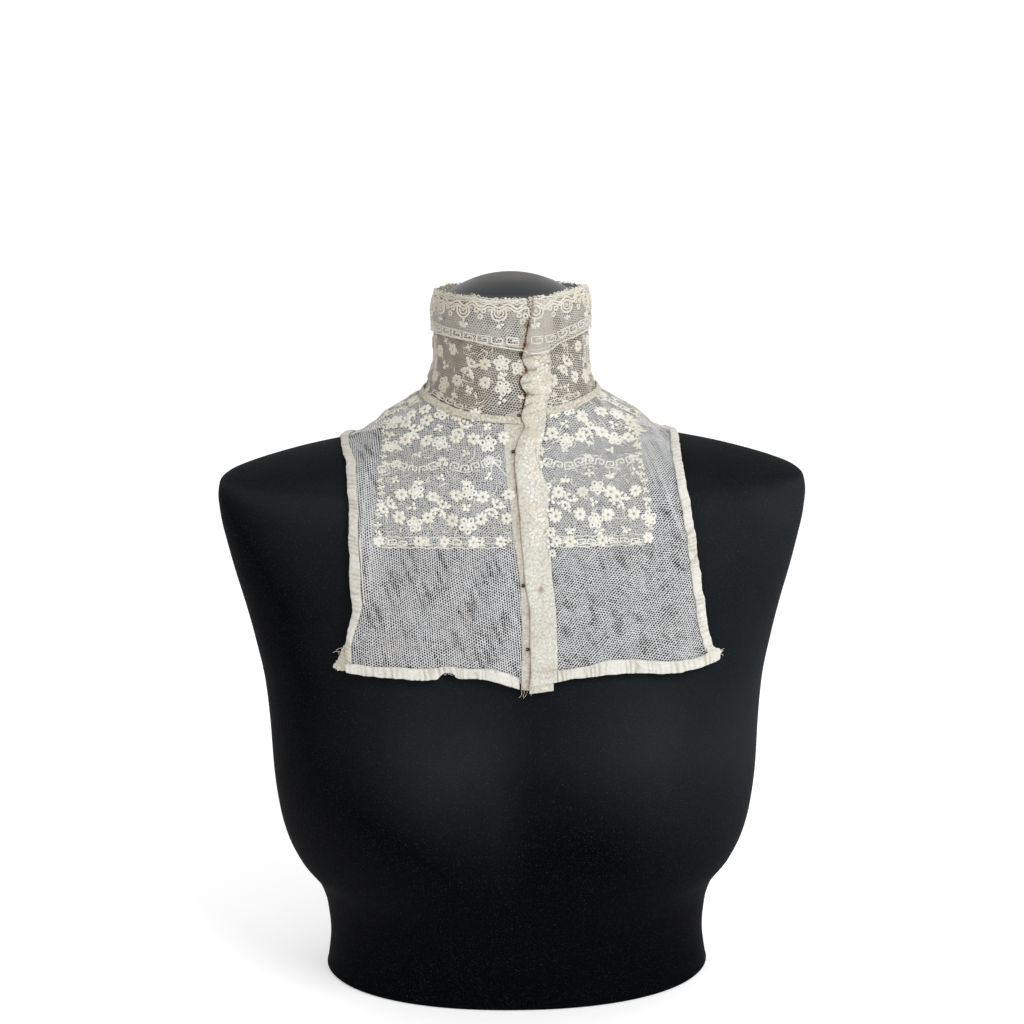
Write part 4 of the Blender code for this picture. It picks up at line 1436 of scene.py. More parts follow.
# -------------------------------------------------------------------- nets ----
def streaks_front(u, v):
    """Threads lie closer in soft streaks: upright at the left, slanting at the right."""
    right = ramp(u, -0.004, 0.020)
    lean = np.radians(66)
    upright = waves((u * np.cos(lean) - v * np.sin(lean)) * 0.24,
                    u * np.sin(lean) + v * np.cos(lean), 0.0076, 71, 9)
    lean = np.radians(46)
    slant = waves((u * np.cos(lean) - v * np.sin(lean)) * 0.52,
                  u * np.sin(lean) + v * np.cos(lean), 0.0100, 72, 9)
    streak = upright * (1 - right) + slant * right
    thin = ramp(streak, 0.10, 1.15)
    # fine drawn lines: upright at the left, rising to the right at the right
    drawn = waves(u, v * 0.10, 0.0046, 78, 9) * (1 - right)
    drawn = drawn + waves((u - v) * 0.7, (u + v) * 0.10, 0.0044, 79, 9) * right
    p, _ = front(np.atleast_1d(u), np.atleast_1d(v))
    x, z = p[:, 0], p[:, 2]
    side = ramp(-x, 0.078, 0.090) * ramp(z, 0.315, 0.335) * (1 - ramp(z, 0.375, 0.395))
    hump = ramp(x, 0.076, 0.090) * ramp(z, 0.372, 0.392)
    # light folds where the shoulder slopes away
    fold = 0.0
    for x0, z0, x1, z1, wide in ((.0800, .4150, .1030, .3900, .9), (.0840, .3960, .1040, .3920, .8),
                                 (.0880, .3960, .1085, .3420, .9), (.0800, .4080, .0930, .3700, .8),
                                 (-.0930, .3800, -.0960, .3180, .9), (-.0990, .3780, -.0985, .3250, .9),
                                 (-.0880, .3620, -.0905, .3120, .8)):
        ax, az = x1 - x0, z1 - z0
        at = np.clip(((x - x0) * ax + (z - z0) * az) / (ax * ax + az * az), 0, 1)
        far = np.hypot(x - x0 - at * ax, z - z0 - at * az)
        fold = np.maximum(fold, np.exp(-(far / (wide * MM)) ** 2))
    ground = 1.10 - 0.03 * right + 0.08 * waves(u, v, 0.024, 73) + 0.06 * waves(u, v, 0.006, 76, 9)
    thick = ground - (0.46 - 0.08 * right) * thin * (1 - hump) + 0.075 * drawn
    hump = hump * (0.24 + 0.14 * waves((x + z) * 1.6, (x - z) * 0.5, 0.011, 80))
    return thick + 0.17 * side + hump + 0.55 * fold


def streaks_back(u, v):
    return 1 + 0.10 * waves(u * 3.0, v * 0.5, 0.020, 74, 9) + 0.06 * waves(u, v, 0.030, 75)


TULLE_PITCH, TULLE_THREAD = 1.66 * MM, 0.565 * MM
LACE_PITCH, LACE_THREAD = 1.68 * MM, 0.35 * MM


def body_panel(side):
    """Whether cloth at (u, v) belongs to a panel of plain tulle."""
    chart = behind if side == "back" else front

    def inside(u, v):
        p, _ = chart(u, v)
        x, y, z = p.T
        angle = np.degrees(np.arctan2(x, -y))
        ok = (v < chart.top(u) + 0.2 * MM) & (z < seam_top(angle) - 1.2 * MM)
        if side == "back":
            low = np.interp(x, hem_back["x"], hem_back["high"])
            return (ok & (x > table_edge(shown, "back_left")(z) + 1.6 * MM)
                    & (x < table_edge(shown, "back_right")(z) - 1.6 * MM) & (z > low - 4.5 * MM))
        low = np.interp(x, hem_front["x"], hem_front["high"])
        ok = ok & (z > low - 4.0 * MM)
        if side == "left":
            return (ok & (x > table_edge(shown, "left")(z) + 1.6 * MM)
                    & (x < under_left(z) + 2.4 * MM))
        return ok & (x > slit_right(z) - 3.0 * MM) & (x < table_edge(shown, "right")(z) - 1.4 * MM)

    return inside


for side, node, chart, box in (
        ("left", "front_panel_left", front, (-0.118, 0.014, -0.088, 0.135)),
        ("right", "front_panel_right", front, (0.006, 0.138, -0.088, 0.135)),
        ("back", "back_panel", behind, (-0.122, 0.122, -0.092, 0.135))):
    flat = Flat()
    hex_net(flat, body_panel(side), box, TULLE_PITCH, TULLE_THREAD, {"left": 101, "right": 211,
            "back": 307}[side], 0.30 * MM, streaks_back if side == "back" else streaks_front,
            bend=0.42 * MM, turn={"left": 5, "right": 18, "back": 2}[side],
            drawn={"left": (95, 0.14), "right": (48, 0.18), "back": (92, 0.08)}[side])
    ob = lace_piece("tulle_" + side, flat, chart, tulle_look, 0.05, 0.3)
    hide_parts(node)


# The yoke lies on the panel; its level is where the lace net starts.
YOKE_LOW = 0.82 * MM
YOKE_TOP = YOKE_LOW + 0.06 * MM


def yoke_bounds(side):
    chart = behind if side == "back" else front

    def inside(u, v, margin=0.0):
        p, _ = chart(u, v)
        x, y, z = p.T
        angle = np.degrees(np.arctan2(x, -y))
        ok = (v < chart.top(u) + 0.1 * MM - margin) & (z < seam_top(angle) - 1.2 * MM) & (v > margin)
        if side == "back":
            return (ok & (x > table_edge(shown_yoke, "back_left")(z) + margin)
                    & (x < table_edge(shown_yoke, "back_right")(z) - margin))
        if side == "left":
            return (ok & (x > table_edge(shown_yoke, "left")(z) + margin)
                    & (x < under_left(z) + 2.0 * MM))
        return (ok & (x > slit_right(z) - 2.5 * MM)
                & (x < table_edge(shown_yoke, "right")(z) - margin))

    return inside


def lace_heavy(seed):
    return lambda u, v: 1 + 0.10 * waves(u * 1.6, v * 1.6, 0.020, seed, 9)


for side, node, chart, box in (
        ("left", "lace_yoke_front_left", front, (-0.094, 0.014, -0.001, 0.135)),
        ("right", "lace_yoke_front_right", front, (0.010, 0.094, -0.001, 0.135)),
        ("back", "lace_yoke_back", behind, (-0.094, 0.094, -0.001, 0.135))):
    flat = Flat()
    hex_net(flat, yoke_bounds(side), box, LACE_PITCH, LACE_THREAD,
            {"left": 401, "right": 503, "back": 607}[side], YOKE_LOW,
            lace_heavy(81), bend=0.45 * MM, turn={"left": 27, "right": -26, "back": 30}[side])
    ob = lace_piece("yoke_lace_" + side, flat, chart, lace_look, 0.10, 0.5)
    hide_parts(node)


# ------------------------------------------------------- yoke's embroidery ----
def yoke_motifs(side):
    """The yoke's lace: two garlands of wreaths, wavy keys between, a border below."""
    flat = Flat()
    rng = np.random.default_rng({"left": 11, "right": 12, "back": 13}[side])
    within = yoke_bounds(side)

    def free(u, v, margin=2.2):
        return bool(within(np.array([u * MM]), np.array([v * MM]), margin * MM)[0])

    b = YOKE_TOP
    shape = {                      # wreath rows (u, v), crests of the keys' wave, its rise
        "left": dict(low=[(-62.9, 26.1), (-28.9, 25.5), (5.1, 26.0)],
                     high=[(-78.0, 86.0), (-46.4, 82.6), (-15.4, 80.2)],
                     cross=[(-79.4, 26.0), (-45.0, 24.9), (-11.0, 25.1)],
                     cross_high=[(-62.5, 83.5), (-31.6, 80.2), (0.0, 79.0)], crest=-44.0,
                     wave=lambda u: 53.6),
        "right": dict(low=[(17.9, 27.6), (51.7, 27.9), (85.7, 27.6)],
                      high=[(34.6, 83.0), (65.6, 88.4)],
                      cross=[(35.4, 29.0), (68.6, 29.4)],
                      cross_high=[(19.0, 80.5), (49.8, 81.6), (80.5, 90.0)], crest=48.7,
                      wave=lambda u: 54.2 + 0.045 * (u - 20)),
        "back": dict(low=[(u, 26.0) for u in (-68, -34, 0, 34, 68)],
                     high=[(u, 82.0 + 0.06 * abs(u)) for u in (-51, -17, 17, 51)],
                     cross=[(u, 25.4) for u in (-85, -51, -17, 17, 51, 85)],
                     cross_high=[(u, 81.0 + 0.06 * abs(u)) for u in (-68, -34, 0, 34, 68)],
                     crest=0.0, wave=lambda u: 54.0 + 0.02 * abs(u))}[side]
    for row, centres in (("low", shape["low"]), ("high", shape["high"])):
        for cu, cv in centres:
            for du, dv, open_one in ((-7.4, 7.7, 0), (1.9, 10.3, 1), (11.3, 7.0, 0),
                                     (-8.4, -8.0, 0), (0.7, -11.4, 1), (9.9, -7.9, 0)):
                u, v = cu + du + rng.normal(0, 0.45), cv + dv + rng.normal(0, 0.45)
                size = 9.0 * MM * rng.uniform(0.93, 1.06)
                if not free(u, v):
                    continue
                if open_one:
                    eyelet(flat, (u * MM, v * MM), size * 1.14, b, rng, 5)
                else:
                    daisy(flat, (u * MM, v * MM), size, b, rng, int(rng.integers(6, 9)))
            if free(cu, cv):
                four_petals(flat, (cu * MM, cv * MM), 6.4 * MM, b, rng)
    for k, (cu, cv) in enumerate(shape["cross"] + shape["cross_high"]):
        if free(cu, cv):
            cross_leaf(flat, (cu * MM, cv * MM), 0.35 + rng.normal(0, 0.15), 11.0 * MM, b, rng)
    # keys on a wave, with fans over the crests and sprigs under the hollows
    low_u, high_u = {"left": (-85.5, -3.5), "right": (20.5, 84.5), "back": (-86, 86)}[side]
    us = np.arange(low_u, high_u, 0.5)
    vs = np.array([shape["wave"](u) for u in us]) + 1.8 * np.cos(2 * math.pi * (us - shape["crest"]) / 30)
    line = np.stack([us, vs], axis=1) * MM
    total = on_line(line, 0.0, 0.0)[1]
    crests = [shape["crest"] + 30 * k for k in range(-4, 5)]
    gaps = []
    for c in crests:
        if low_u + 3 < c < high_u - 3:
            s = np.interp(c, us, np.linspace(0, total, len(us)))
            if side == "back" or (side == "left" and abs(c + 44) < 1):
                gaps.append((s - 3.6 * MM, s + 3.6 * MM))
            v = np.interp(c, us, vs)
            if free(c, v + 4):
                fan(flat, (c * MM, (v + 1.0) * MM), math.pi / 2 + rng.normal(0, 0.1), 6.6 * MM, b, rng)
    key_row(flat, line, 6.9 * MM, 4.6 * MM, b, rng, skip=gaps)
    for c in crests:
        for off, dv, kind in ((15, -8.2, 4), (0, -9.6, 3), (15, 11.5, 3), (2, 13.0, 2)):
            u = c + off + rng.normal(0, 0.7)
            if not low_u + 2 < u < high_u - 2:
                continue
            v = np.interp(u, us, vs) + dv + rng.normal(0, 0.6)
            if not free(u, v):
                continue
            if kind == 4:
                sprig(flat, (u * MM, v * MM), -math.pi / 2 + rng.normal(0, 0.25), 6.2 * MM, b, rng, 5, 0.45)
            elif kind == 3:
                four_petals(flat, (u * MM, v * MM), 6.0 * MM, b, rng)
            else:
                sprig(flat, (u * MM, v * MM), math.pi / 2 + rng.normal(0, 0.4), 5.4 * MM, b, rng, 3, 0.5)
    # the border: small flowers joined by short dashes and keys
    flowers = {"left": [-84.6, -59.4, -43.0, -24.5, -7.4],
               "right": [28.0, 36.2, 57.0, 86.0],
               "back": [-84, -61, -42, -22, -2, 18, 39, 58, 82]}[side]
    for u in flowers:
        v = 3.6 + rng.normal(0, 0.5)
        daisy(flat, (u * MM, v * MM), rng.uniform(6.6, 8.0) * MM, b, rng, 6)
        if rng.random() < 0.6:
            four_petals(flat, ((u + 5.0) * MM, (v + 0.9) * MM), 4.2 * MM, b, rng)
    edge_line = np.stack([us, 2.6 + 0.5 * np.sin(us * 0.31) + 0.3 * np.sin(us * 0.83)], axis=1) * MM
    taken = [(np.interp(u - 4.6, us, np.arange(len(us)) * 0.5) * MM,
              np.interp(u + 4.6, us, np.arange(len(us)) * 0.5) * MM) for u in flowers]
    key_row(flat, edge_line, 7.0 * MM, 2.8 * MM, b, rng, skip=taken, width=0.92 * MM)
    wisps(flat, free, (low_u, 3.0), (high_u, 122.0), 210 if side != "back" else 260, rng, b)
    if side == "right":
        for u, v in ((36.1, 10.6), (72.2, 10.2), (55.0, 9.4)):
            sprig(flat, (u * MM, v * MM), -math.pi / 2 + rng.normal(0, 0.3), 6.0 * MM, b, rng, 4, 0.4)
    # above the second garland, towards the shoulder: keys again and loose flowers
    top_line = np.stack([us, 110.0 + 2.5 * np.cos(2 * math.pi * (us - shape["crest"] - 15) / 30)],
                        axis=1) * MM
    for a, c in ((low_u, -56.0), (56.0, high_u)):
        part = top_line[(us > a) & (us < c)]
        part = part[[free(u / MM, v / MM, 3.0) for u, v in part]] if len(part) else part
        if len(part) > 16:
            key_row(flat, part, 7.9 * MM, 4.4 * MM, b, rng)
    for u in np.arange(low_u + 4, high_u, 8.6):
        for v0 in (99.0, 119.0):
            v = v0 + rng.normal(0, 0.8)
            if abs(u) > 52 and free(u, v, 3.0):
                if rng.random() < 0.62:
                    daisy(flat, (u * MM, v * MM), 8.2 * MM, b, rng, 7)
                else:
                    four_petals(flat, (u * MM, v * MM), 6.0 * MM, b, rng)
    # a narrow whipped heading finishes the cut edges
    for column, sign in (("left", 1), ("right", -1), ("back_left", -1), ("back_right", 1)):
        if (side == "back") != column.startswith("back") or (side in ("left", "right")
                                                             and column != side):
            continue
        v = np.arange(0.3, 125.0, 0.7) * MM
        chart = behind if side == "back" else front
        x = np.full(len(v), {"left": -0.087, "right": 0.087, "back_left": -0.087,
                             "back_right": 0.087}[column])
        for _ in range(4):
            p, _n = chart(-x if side == "back" else x, v)
            x = table_edge(shown_yoke, column)(p[:, 2])
        u = (-x if side == "back" else x) + sign * 0.35 * MM
        ok = v < chart.top(u) - 0.2 * MM
        path = np.stack([u, v], axis=1)[ok]
        path = path + np.stack([0.25 * MM * waves(path[:, 1], 0 * path[:, 1], 0.010, 83),
                                0 * path[:, 1]], axis=1)
        at = 3.0                   # leaves and small flowers scallop the edge
        while at < v[ok][-1] / MM - 3.0:
            k = int(np.argmin(np.abs(path[:, 1] - at * MM)))
            spot = (path[k, 0] / MM + sign * rng.uniform(1.4, 3.0), at)
            if free(*spot, margin=0.4):
                if rng.random() < 0.45:
                    four_petals(flat, (spot[0] * MM, spot[1] * MM), 5.2 * MM, b, rng)
                else:
                    sprig(flat, (spot[0] * MM, spot[1] * MM), rng.uniform(0.9, 2.2), 5.0 * MM, b, rng,
                          3, 0.5)
            at += rng.uniform(4.4, 7.4)
    path = np.stack([us, -0.15 + 0.35 * np.sin(us * 0.5) + 0.2 * np.sin(us * 1.3)], axis=1) * MM
    stroke(flat, path, 0.62 * MM, 0.24 * MM, b - 0.12 * MM)
    for v, w, phase in ((2.4, 0.42, 0.7), (6.3, 0.50, 1.9)):
        path = np.stack([us, v + 0.30 * np.sin(us * 0.41 + phase) + 0.25 * np.sin(us * 1.1)], axis=1)
        stroke(flat, path * MM, w * MM, 0.18 * MM, b - 0.08 * MM)
    return flat


for side, chart in (("left", front), ("right", front), ("back", behind)):
    flat = yoke_motifs(side)
    if side == "left":             # a line of stitches that mends the yoke by the opening
        rng = np.random.default_rng(17)
        t = np.linspace(0, 1, 26)
        path = np.stack([-15.6 + 13.4 * t, 59.8 - 14.6 * t + 0.8 * np.sin(3 * t)], axis=1) * MM
        stroke(flat, path, 0.7 * MM, 0.5 * MM, YOKE_TOP + 0.3 * MM)
        for k in range(11):
            at = path[2 * k + 2]
            ahead = np.array([0.45, 0.9]) * 0.9 * MM
            stroke(flat, np.linspace(at - ahead, at + ahead, 4), 0.45 * MM, 0.45 * MM,
                   YOKE_TOP + 0.4 * MM)
    ob = lace_piece("yoke_flowers_" + side, flat, chart, floss_look, 0.05, 0.6)


# ------------------------------------------------------------------ collar ----
def collar_inside(u, v):
    angle = u / TURN
    start = angle_of(slit_right(v), v) - 3.0
    stop = 360 + angle_of(slit_left(v) - 0.5 * MM, v)
    fray = 0.0010 * waves(u, 0 * u, 0.0042, 91, 5)
    return ((angle > start) & (angle < stop) & (v > seam_top(angle) - 2.6 * MM)
            & (v < rim_at(angle) + 0.0004 + fray))


STAND_LOW = 0.22 * MM
flat = Flat()
hex_net(flat, collar_inside, (10 * TURN, 372 * TURN, 0.408, 0.4985), 1.66 * MM, 0.560 * MM, 701,
        STAND_LOW, lace_heavy(82), bend=0.40 * MM, turn=18)
ob = lace_piece("collar_lace", flat, collar, lace_look, 0.62, 0.6)
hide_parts("collar_stand")


def collar_free(angle, z, margin=2.5 * MM):
    """Whether a motif there shows between the tape, the band and the opening."""
    low = seam_top(angle) + margin * 0.4
    high = rim_at(angle, "band") + 2.0 * MM
    start = angle_of(slit_right(z), z) - 1.0
    stop = 360 + angle_of(slit_left(z), z) - 1.5
    return low < z < high and start < angle < stop


def collar_motifs():
    flat = Flat()
    rng = np.random.default_rng(19)
    b = STAND_LOW + 0.05 * MM
    centres = [64.0 + 48.42 * k for k in range(7)] + [17.5]
    for c in centres:
        for da, z, kind in ((-6.5, 454.8, "solid"), (8.8, 456.4, "solid"), (-13.6, 449.6, "solid"),
                            (-0.6, 450.0, "open"), (11.0, 447.4, "open"), (-13.0, 437.2, "solid"),
                            (0.6, 434.4, "open"), (12.4, 438.0, "solid")):
            if c > 340 and (da, z) in ((-6.5, 454.8), (8.8, 456.4)):
                continue
            if c < 340 and da in (-13.6, -0.6, 11.0) and z > 445:
                continue
            a, high = c + da + rng.normal(0, 0.6), (z + rng.normal(0, 0.4)) * MM
            high += 0.0022 * ramp(abs((a + 180) % 360 - 180), 25, 60) * (a < 180)
            if not collar_free(a, high):
                continue
            size = 8.8 * MM * rng.uniform(0.94, 1.06)
            if kind == "solid":
                daisy(flat, (a * TURN, high), size, b, rng, int(rng.integers(6, 9)))
            else:
                eyelet(flat, (a * TURN, high), size * 1.12, b, rng, 5)
        if c < 340:
            four = (c + 1.0, 0.4462)
        else:
            four = (c, 0.4414)
        if collar_free(*four):
            four_petals(flat, (four[0] * TURN, four[1]), 6.6 * MM, b, rng)
        for a, z, kind in ((c + 24.2, 0.4465, "x"), (c + 24.5, 0.4322, "s"), (c - 1.0, 0.4262, "s"),
                           (c + 12.5, 0.4270, "t"), (c + 24.0, 0.4590, "t"), (c + 1.5, 0.4615, "t")):
            if not collar_free(a, z):
                continue
            if kind == "x":
                cross_leaf(flat, (a * TURN, z), 0.5 + rng.normal(0, 0.15), 11.0 * MM, b, rng)
            elif kind == "s":
                four_petals(flat, (a * TURN, z), 6.2 * MM, b, rng)
            else:
                sprig(flat, (a * TURN, z), math.pi / 2 + rng.normal(0, 0.6), 5.4 * MM, b, rng, 3, 0.4)
    # a narrow row of keys over the neck tape, and loose ends of thread
    for start, stop in ((22.0, 64.0), (90.0, 270.0), (296.0, 345.0)):
        a = np.arange(start, stop, 0.75)
        line = np.stack([a * TURN, seam_top(a) + 2.6 * MM], axis=1)
        key_row(flat, line, 7.6 * MM, 2.7 * MM, b, rng, width=0.66 * MM, flip=-1)

    def clear(u, v):
        return bool(collar_free(u * MM / TURN, v * MM))

    wisps(flat, clear, (20 * TURN / MM, 418.0), (366 * TURN / MM, 468.0), 300, rng, b)
    return flat


ob = lace_piece("collar_flowers", collar_motifs(), collar, floss_look, 0.38, 0.8)


# The band is the collar's lace turned over at the rim, and stands off below.
def band_level(angle, z):
    rim, low = rim_at(angle), rim_at(angle, "band")
    t = np.clip((rim - z) / (rim - low), 0, 1)
    loose = 0.00022 * waves(angle * TURN, 0 * z, 0.016, 93) * t
    roll = 0.00045 * np.sin(math.pi * np.clip(t * 1.15, 0, 1)) ** 1.5
    over = 0.0009 * ramp(angle, 380, 372) * (angle > 180) * 0
    return 0.55 * MM + 0.75 * MM * ramp(t, 0.0, 0.22) + 0.55 * MM * ramp(t, 0.3, 1.0) + loose + roll + over


OVERLAP_LEVEL = 0.9 * MM               # what the overlap adds below the band


def band_lift(angle, z):
    """Over the overlap the band lies higher."""
    a = (angle + 180) % 360 - 180
    x = 0.0520 * np.sin(np.radians(a))
    on = ramp(x, slit_left(z) - 0.0004, slit_left(z) + 0.0002) * (1 - ramp(x, slit_right(z) - 0.0005,
                                                                         slit_right(z) + 0.0035))
    return 1.05 * MM * on * (np.abs(a) < 60) * ramp(0.4925 - z, 0.0, 0.006)


class BandChart(Chart):
    def lay(self, u, v, h):
        p, n = self(u, v)
        angle = u / TURN
        h = h + band_level(angle, v) + band_lift(angle, v)
        return p + n * (h + self.relief(p))[:, None], p


band = BandChart(collar.us, collar.vs, collar.points, collar.normals, collar.relief)


def band_ends(v):
    """Angles of the band's two ends: to the right of the opening and to its left."""
    return (angle_of(slit_left(v) + 0.4 * MM, v), 360 + angle_of(slit_left(v) - 0.5 * MM, v))


def band_inside(u, v):
    angle = u / TURN
    start, stop = band_ends(v)
    fray = 0.0007 * waves(u, 0 * u, 0.0036, 95, 5)
    return ((angle > start) & (angle < stop) & (v > rim_at(angle, "band") + 0.5 * MM)
            & (v < rim_at(angle) - 0.0002 + fray))


flat = Flat()
hex_net(flat, band_inside, (2 * TURN, 376 * TURN, 0.453, 0.4985), 1.66 * MM, 0.505 * MM, 811,
        0.0, lace_heavy(84), bend=0.35 * MM, turn=24)
ob = lace_piece("collar_band_lace", flat, band, lace_look, 0.26, 0.7)
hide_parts("collar_top_band")


def key_height(angle):
    a = (np.asarray(angle, float) + 180) % 360 - 180
    at = [-180, -120, -66, -46.8, -33, -19.7, -5.6, 4.7, 9, 13.8, 24, 33.8, 40, 56, 77, 120, 180]
    z = [.4712, .4714, .4708, .4688, .4674, .4658, .4652, .4640, .4640, .4650, .4648, .4664, .4686,
         .4712, .4738, .4722, .4712]
    return np.interp(a, at, z)


def band_motifs():
    flat = Flat()
    rng = np.random.default_rng(23)
    b = 0.05 * MM
    first, last = band_ends(np.array([0.475]))
    first, last = float(first[0]), float(last[0])
    # medallions hang from the cord; between them are clusters of three small rings
    places = [17.4, 42.1] + [67.0 + 25.45 * k for k in range(8)] + [278.2, 303.1, 326.4, 352.5]
    mids = []
    for k, c in enumerate(places):
        if not first + 3 < c < last - 3:
            continue
        rim = float(rim_at(c))
        at = (c * TURN, rim - 9.0 * MM)
        gap = 0.8 if c < 180 else 0.35
        t = np.linspace(math.pi / 2 + gap + 0.2, math.pi / 2 + 2 * math.pi - gap, 26)
        r = 4.5 * MM * (1 + 0.03 * rng.normal(0, 1, 26))
        stroke(flat, np.stack([at[0] + r * np.cos(t), at[1] + r * np.sin(t)], axis=1),
               1.15 * MM, FLOSS * 1.25, b)
        t = np.linspace(math.pi / 2 + 0.9, math.pi / 2 + 2 * math.pi - 0.3, 18)
        r = 2.7 * MM * (1 + 0.04 * rng.normal(0, 1, 18))
        stroke(flat, np.stack([at[0] + r * np.cos(t), at[1] + 0.3 * MM + r * np.sin(t)], axis=1),
               1.0 * MM, FLOSS * 1.15, b)
        ring(flat, (at[0], at[1] + 0.5 * MM), 0.85 * MM, 0.85 * MM, b, rng, 8)
        for side in (-1, 1):
            leaf(flat, (at[0] + side * 5.6 * MM, at[1] + 2.2 * MM), 1.2 * side + 1.57, 3.2 * MM,
                 1.3 * MM, b, rng)
        # below each medallion hangs a small bouquet
        low = (at[0] + rng.normal(0, 0.4) * MM, at[1] - 8.0 * MM)
        if k % 2 == 0:
            sprig(flat, low, -math.pi / 2 + rng.normal(0, 0.2), 6.4 * MM, b, rng, 5, 0.3)
            leaf(flat, (low[0], low[1] + 2.6 * MM), 1.57, 3.0 * MM, 1.7 * MM, b, rng)
        else:
            sprig(flat, (low[0], low[1] + 1.0 * MM), -math.pi / 2 + rng.normal(0, 0.3), 5.0 * MM, b,
                  rng, 3, 0.3)
        mids.append(c)
    for a, c in zip(mids[:-1], mids[1:]):
        m = (a + c) / 2
        z = float(rim_at(m)) - 8.6 * MM
        for du, dv in ((-2.3, 0.9), (2.3, 0.5), (0.1, -3.2)):
            ring(flat, (m * TURN + du * MM, z + dv * MM), 1.35 * MM, 1.1 * MM, b, rng, 9,
                 FLOSS * 1.1)
        leaf(flat, (m * TURN, z + 3.6 * MM), 0.2, 3.0 * MM, 1.4 * MM, b, rng)
    m = last - 3.6                                   # the cluster by the opening
    for du, dv in ((-2.4, 1.6), (1.6, 1.0), (-0.2, -2.6)):
        ring(flat, (m * TURN + du * MM, 0.4795 + dv * MM), 1.35 * MM, 1.1 * MM, b, rng, 9)
    # two cords follow the rim in waves
    a = np.arange(first + 0.6, last - 0.6, 0.75)
    wave = 1.35 * np.cos(2 * math.pi * 2 * (a - 352.5) / 25.3 + math.pi) + 0.5 * waves(
        a * TURN, 0 * a, 0.02, 97)
    for off, w in ((0.0, 1.35), (-2.0, 1.25)):
        z = rim_at(a) - 4.4 * MM + (wave + off) * MM
        stroke(flat, np.stack([a * TURN, z], axis=1), w * MM, FLOSS * 1.3, b)
    # the rim itself: a line of ragged picots over a rolled edge
    z = rim_at(a) - 0.9 * MM + 0.35 * MM * waves(a * TURN, 0 * a, 0.006, 98)
    stroke(flat, np.stack([a * TURN, z], axis=1), 1.0 * MM, FLOSS * 1.0, b)
    for down, w, seed in ((1.9, 0.85, 101), (2.9, 0.75, 102)):
        z = rim_at(a) - down * MM + 0.30 * MM * waves(a * TURN, 0 * a, 0.005, seed)
        stroke(flat, np.stack([a * TURN, z], axis=1), w * MM, FLOSS * 0.8, b)
    at = first + 1.0
    while at < last - 1.5:
        wide, tall = rng.uniform(1.6, 2.6), rng.uniform(0.7, 2.0)
        if rng.random() < 0.86:
            t = np.linspace(0, math.pi, 7)
            u = at * TURN - wide / 2 * MM * np.cos(t)
            z = float(rim_at(at)) - 0.7 * MM + tall * MM * np.sin(t) * rng.uniform(0.7, 1.1)
            stroke(flat, np.stack([u, z], axis=1), 0.62 * MM, FLOSS * rng.uniform(0.5, 1.0), b)
        if rng.random() < 0.50:
            leaf(flat, (at * TURN, float(rim_at(at)) + rng.uniform(-1.6, 0.3) * MM),
                 rng.uniform(0.8, 2.3), rng.uniform(1.8, 3.0) * MM, 1.0 * MM, b, rng)
        at += (wide + rng.uniform(-0.2, 0.8)) * MM / TURN
    # long keys near the lower edge, and the turned edge's own line
    for part in (a[a < 180], a[a >= 180]):
        line = np.stack([part * TURN, key_height(part)], axis=1)
        key_row(flat, line, 9.4 * MM, 4.3 * MM, b, rng, width=0.95 * MM, flip=-1)
    z = rim_at(a, "band") + 0.6 * MM + 0.15 * MM * waves(a * TURN, 0 * a, 0.012, 99)
    stroke(flat, np.stack([a * TURN, z], axis=1), 0.85 * MM, 0.40 * MM, b)
    z = np.minimum(key_height(a) - 2.9 * MM, rim_at(a, "band") + 3.2 * MM)
    ok = z > rim_at(a, "band") + 1.6 * MM
    for run in np.split(np.arange(len(a)), np.where(np.diff(ok.astype(int)) != 0)[0] + 1):
        if ok[run].all() and len(run) > 12:
            stroke(flat, np.stack([a[run] * TURN, z[run]], axis=1), 0.4 * MM, 0.2 * MM, b)
    return flat


ob = lace_piece("collar_band_flowers", band_motifs(), band, floss_look, 0.24, 0.8)


# ------------------------------------------------------------------ strips ----
def strip_piece(name, place, cut, mat, base_age, rust_and_gap_shadow=0.6, shade_and_dirt=None):
    """A strip from its net of places and the same net as it lay flat, both rows by
    columns; the columns run to the wearer's left on the front, which is outwards."""
    rows, cols = place.shape[:2]
    verts, flat_at = place.reshape(-1, 3), cut.reshape(-1, 2)
    masks = masks_for(verts, base_age, rust_and_gap_shadow)
    if shade_and_dirt is not None:
        masks["age_and_shade"] = masks["age_and_shade"] + shade_and_dirt.reshape(-1)
    ob = piece(name, verts + HOME, strip_quads(rows, cols), uv=flat_at, cut=flat_at, masks=masks,
               mats=[mat])
    return ob


def lay_out(place):
    """The flat shape of a net of places: arc lengths along its rows and columns."""
    across = np.linalg.norm(np.diff(place, axis=1), axis=2).mean(0)
    along = np.linalg.norm(np.diff(place, axis=0), axis=2).mean(1)
    w = np.concatenate([[0], np.cumsum(across)])
    s = np.concatenate([[0], np.cumsum(along)])
    return np.stack(np.broadcast_arrays(w[None, :], s[:, None]), axis=-1)


BOUND = [(1.0, .10), (.5, .03), (.12, .05), (.0, .32), (-.01, .80), (.04, 1.20), (.15, 1.48),
         (.27, 1.60), (.39, 1.66), (.51, 1.64), (.63, 1.60), (.76, 1.52), (.88, 1.36),
         (.97, 1.08), (1.0, .78), (.975, .52)]


def gathers(s, t, seed, gather, slant):
    """How full the cloth is between small slanting tucks, from 0 in a tuck to 1."""
    phase = math.pi * (s / gather + 0.55 * waves(s, 0 * s, 0.018, seed) + slant * (t - 0.5)
                       + 0.12 * waves(s, t * 0.006, 0.007, seed + 2))
    deep = np.clip(0.62 + 0.55 * waves(s, t * 0.004, 0.016, seed + 1), 0.10, 1.0)
    return 1 - deep * (1 - np.abs(np.sin(phase)) ** 0.8)


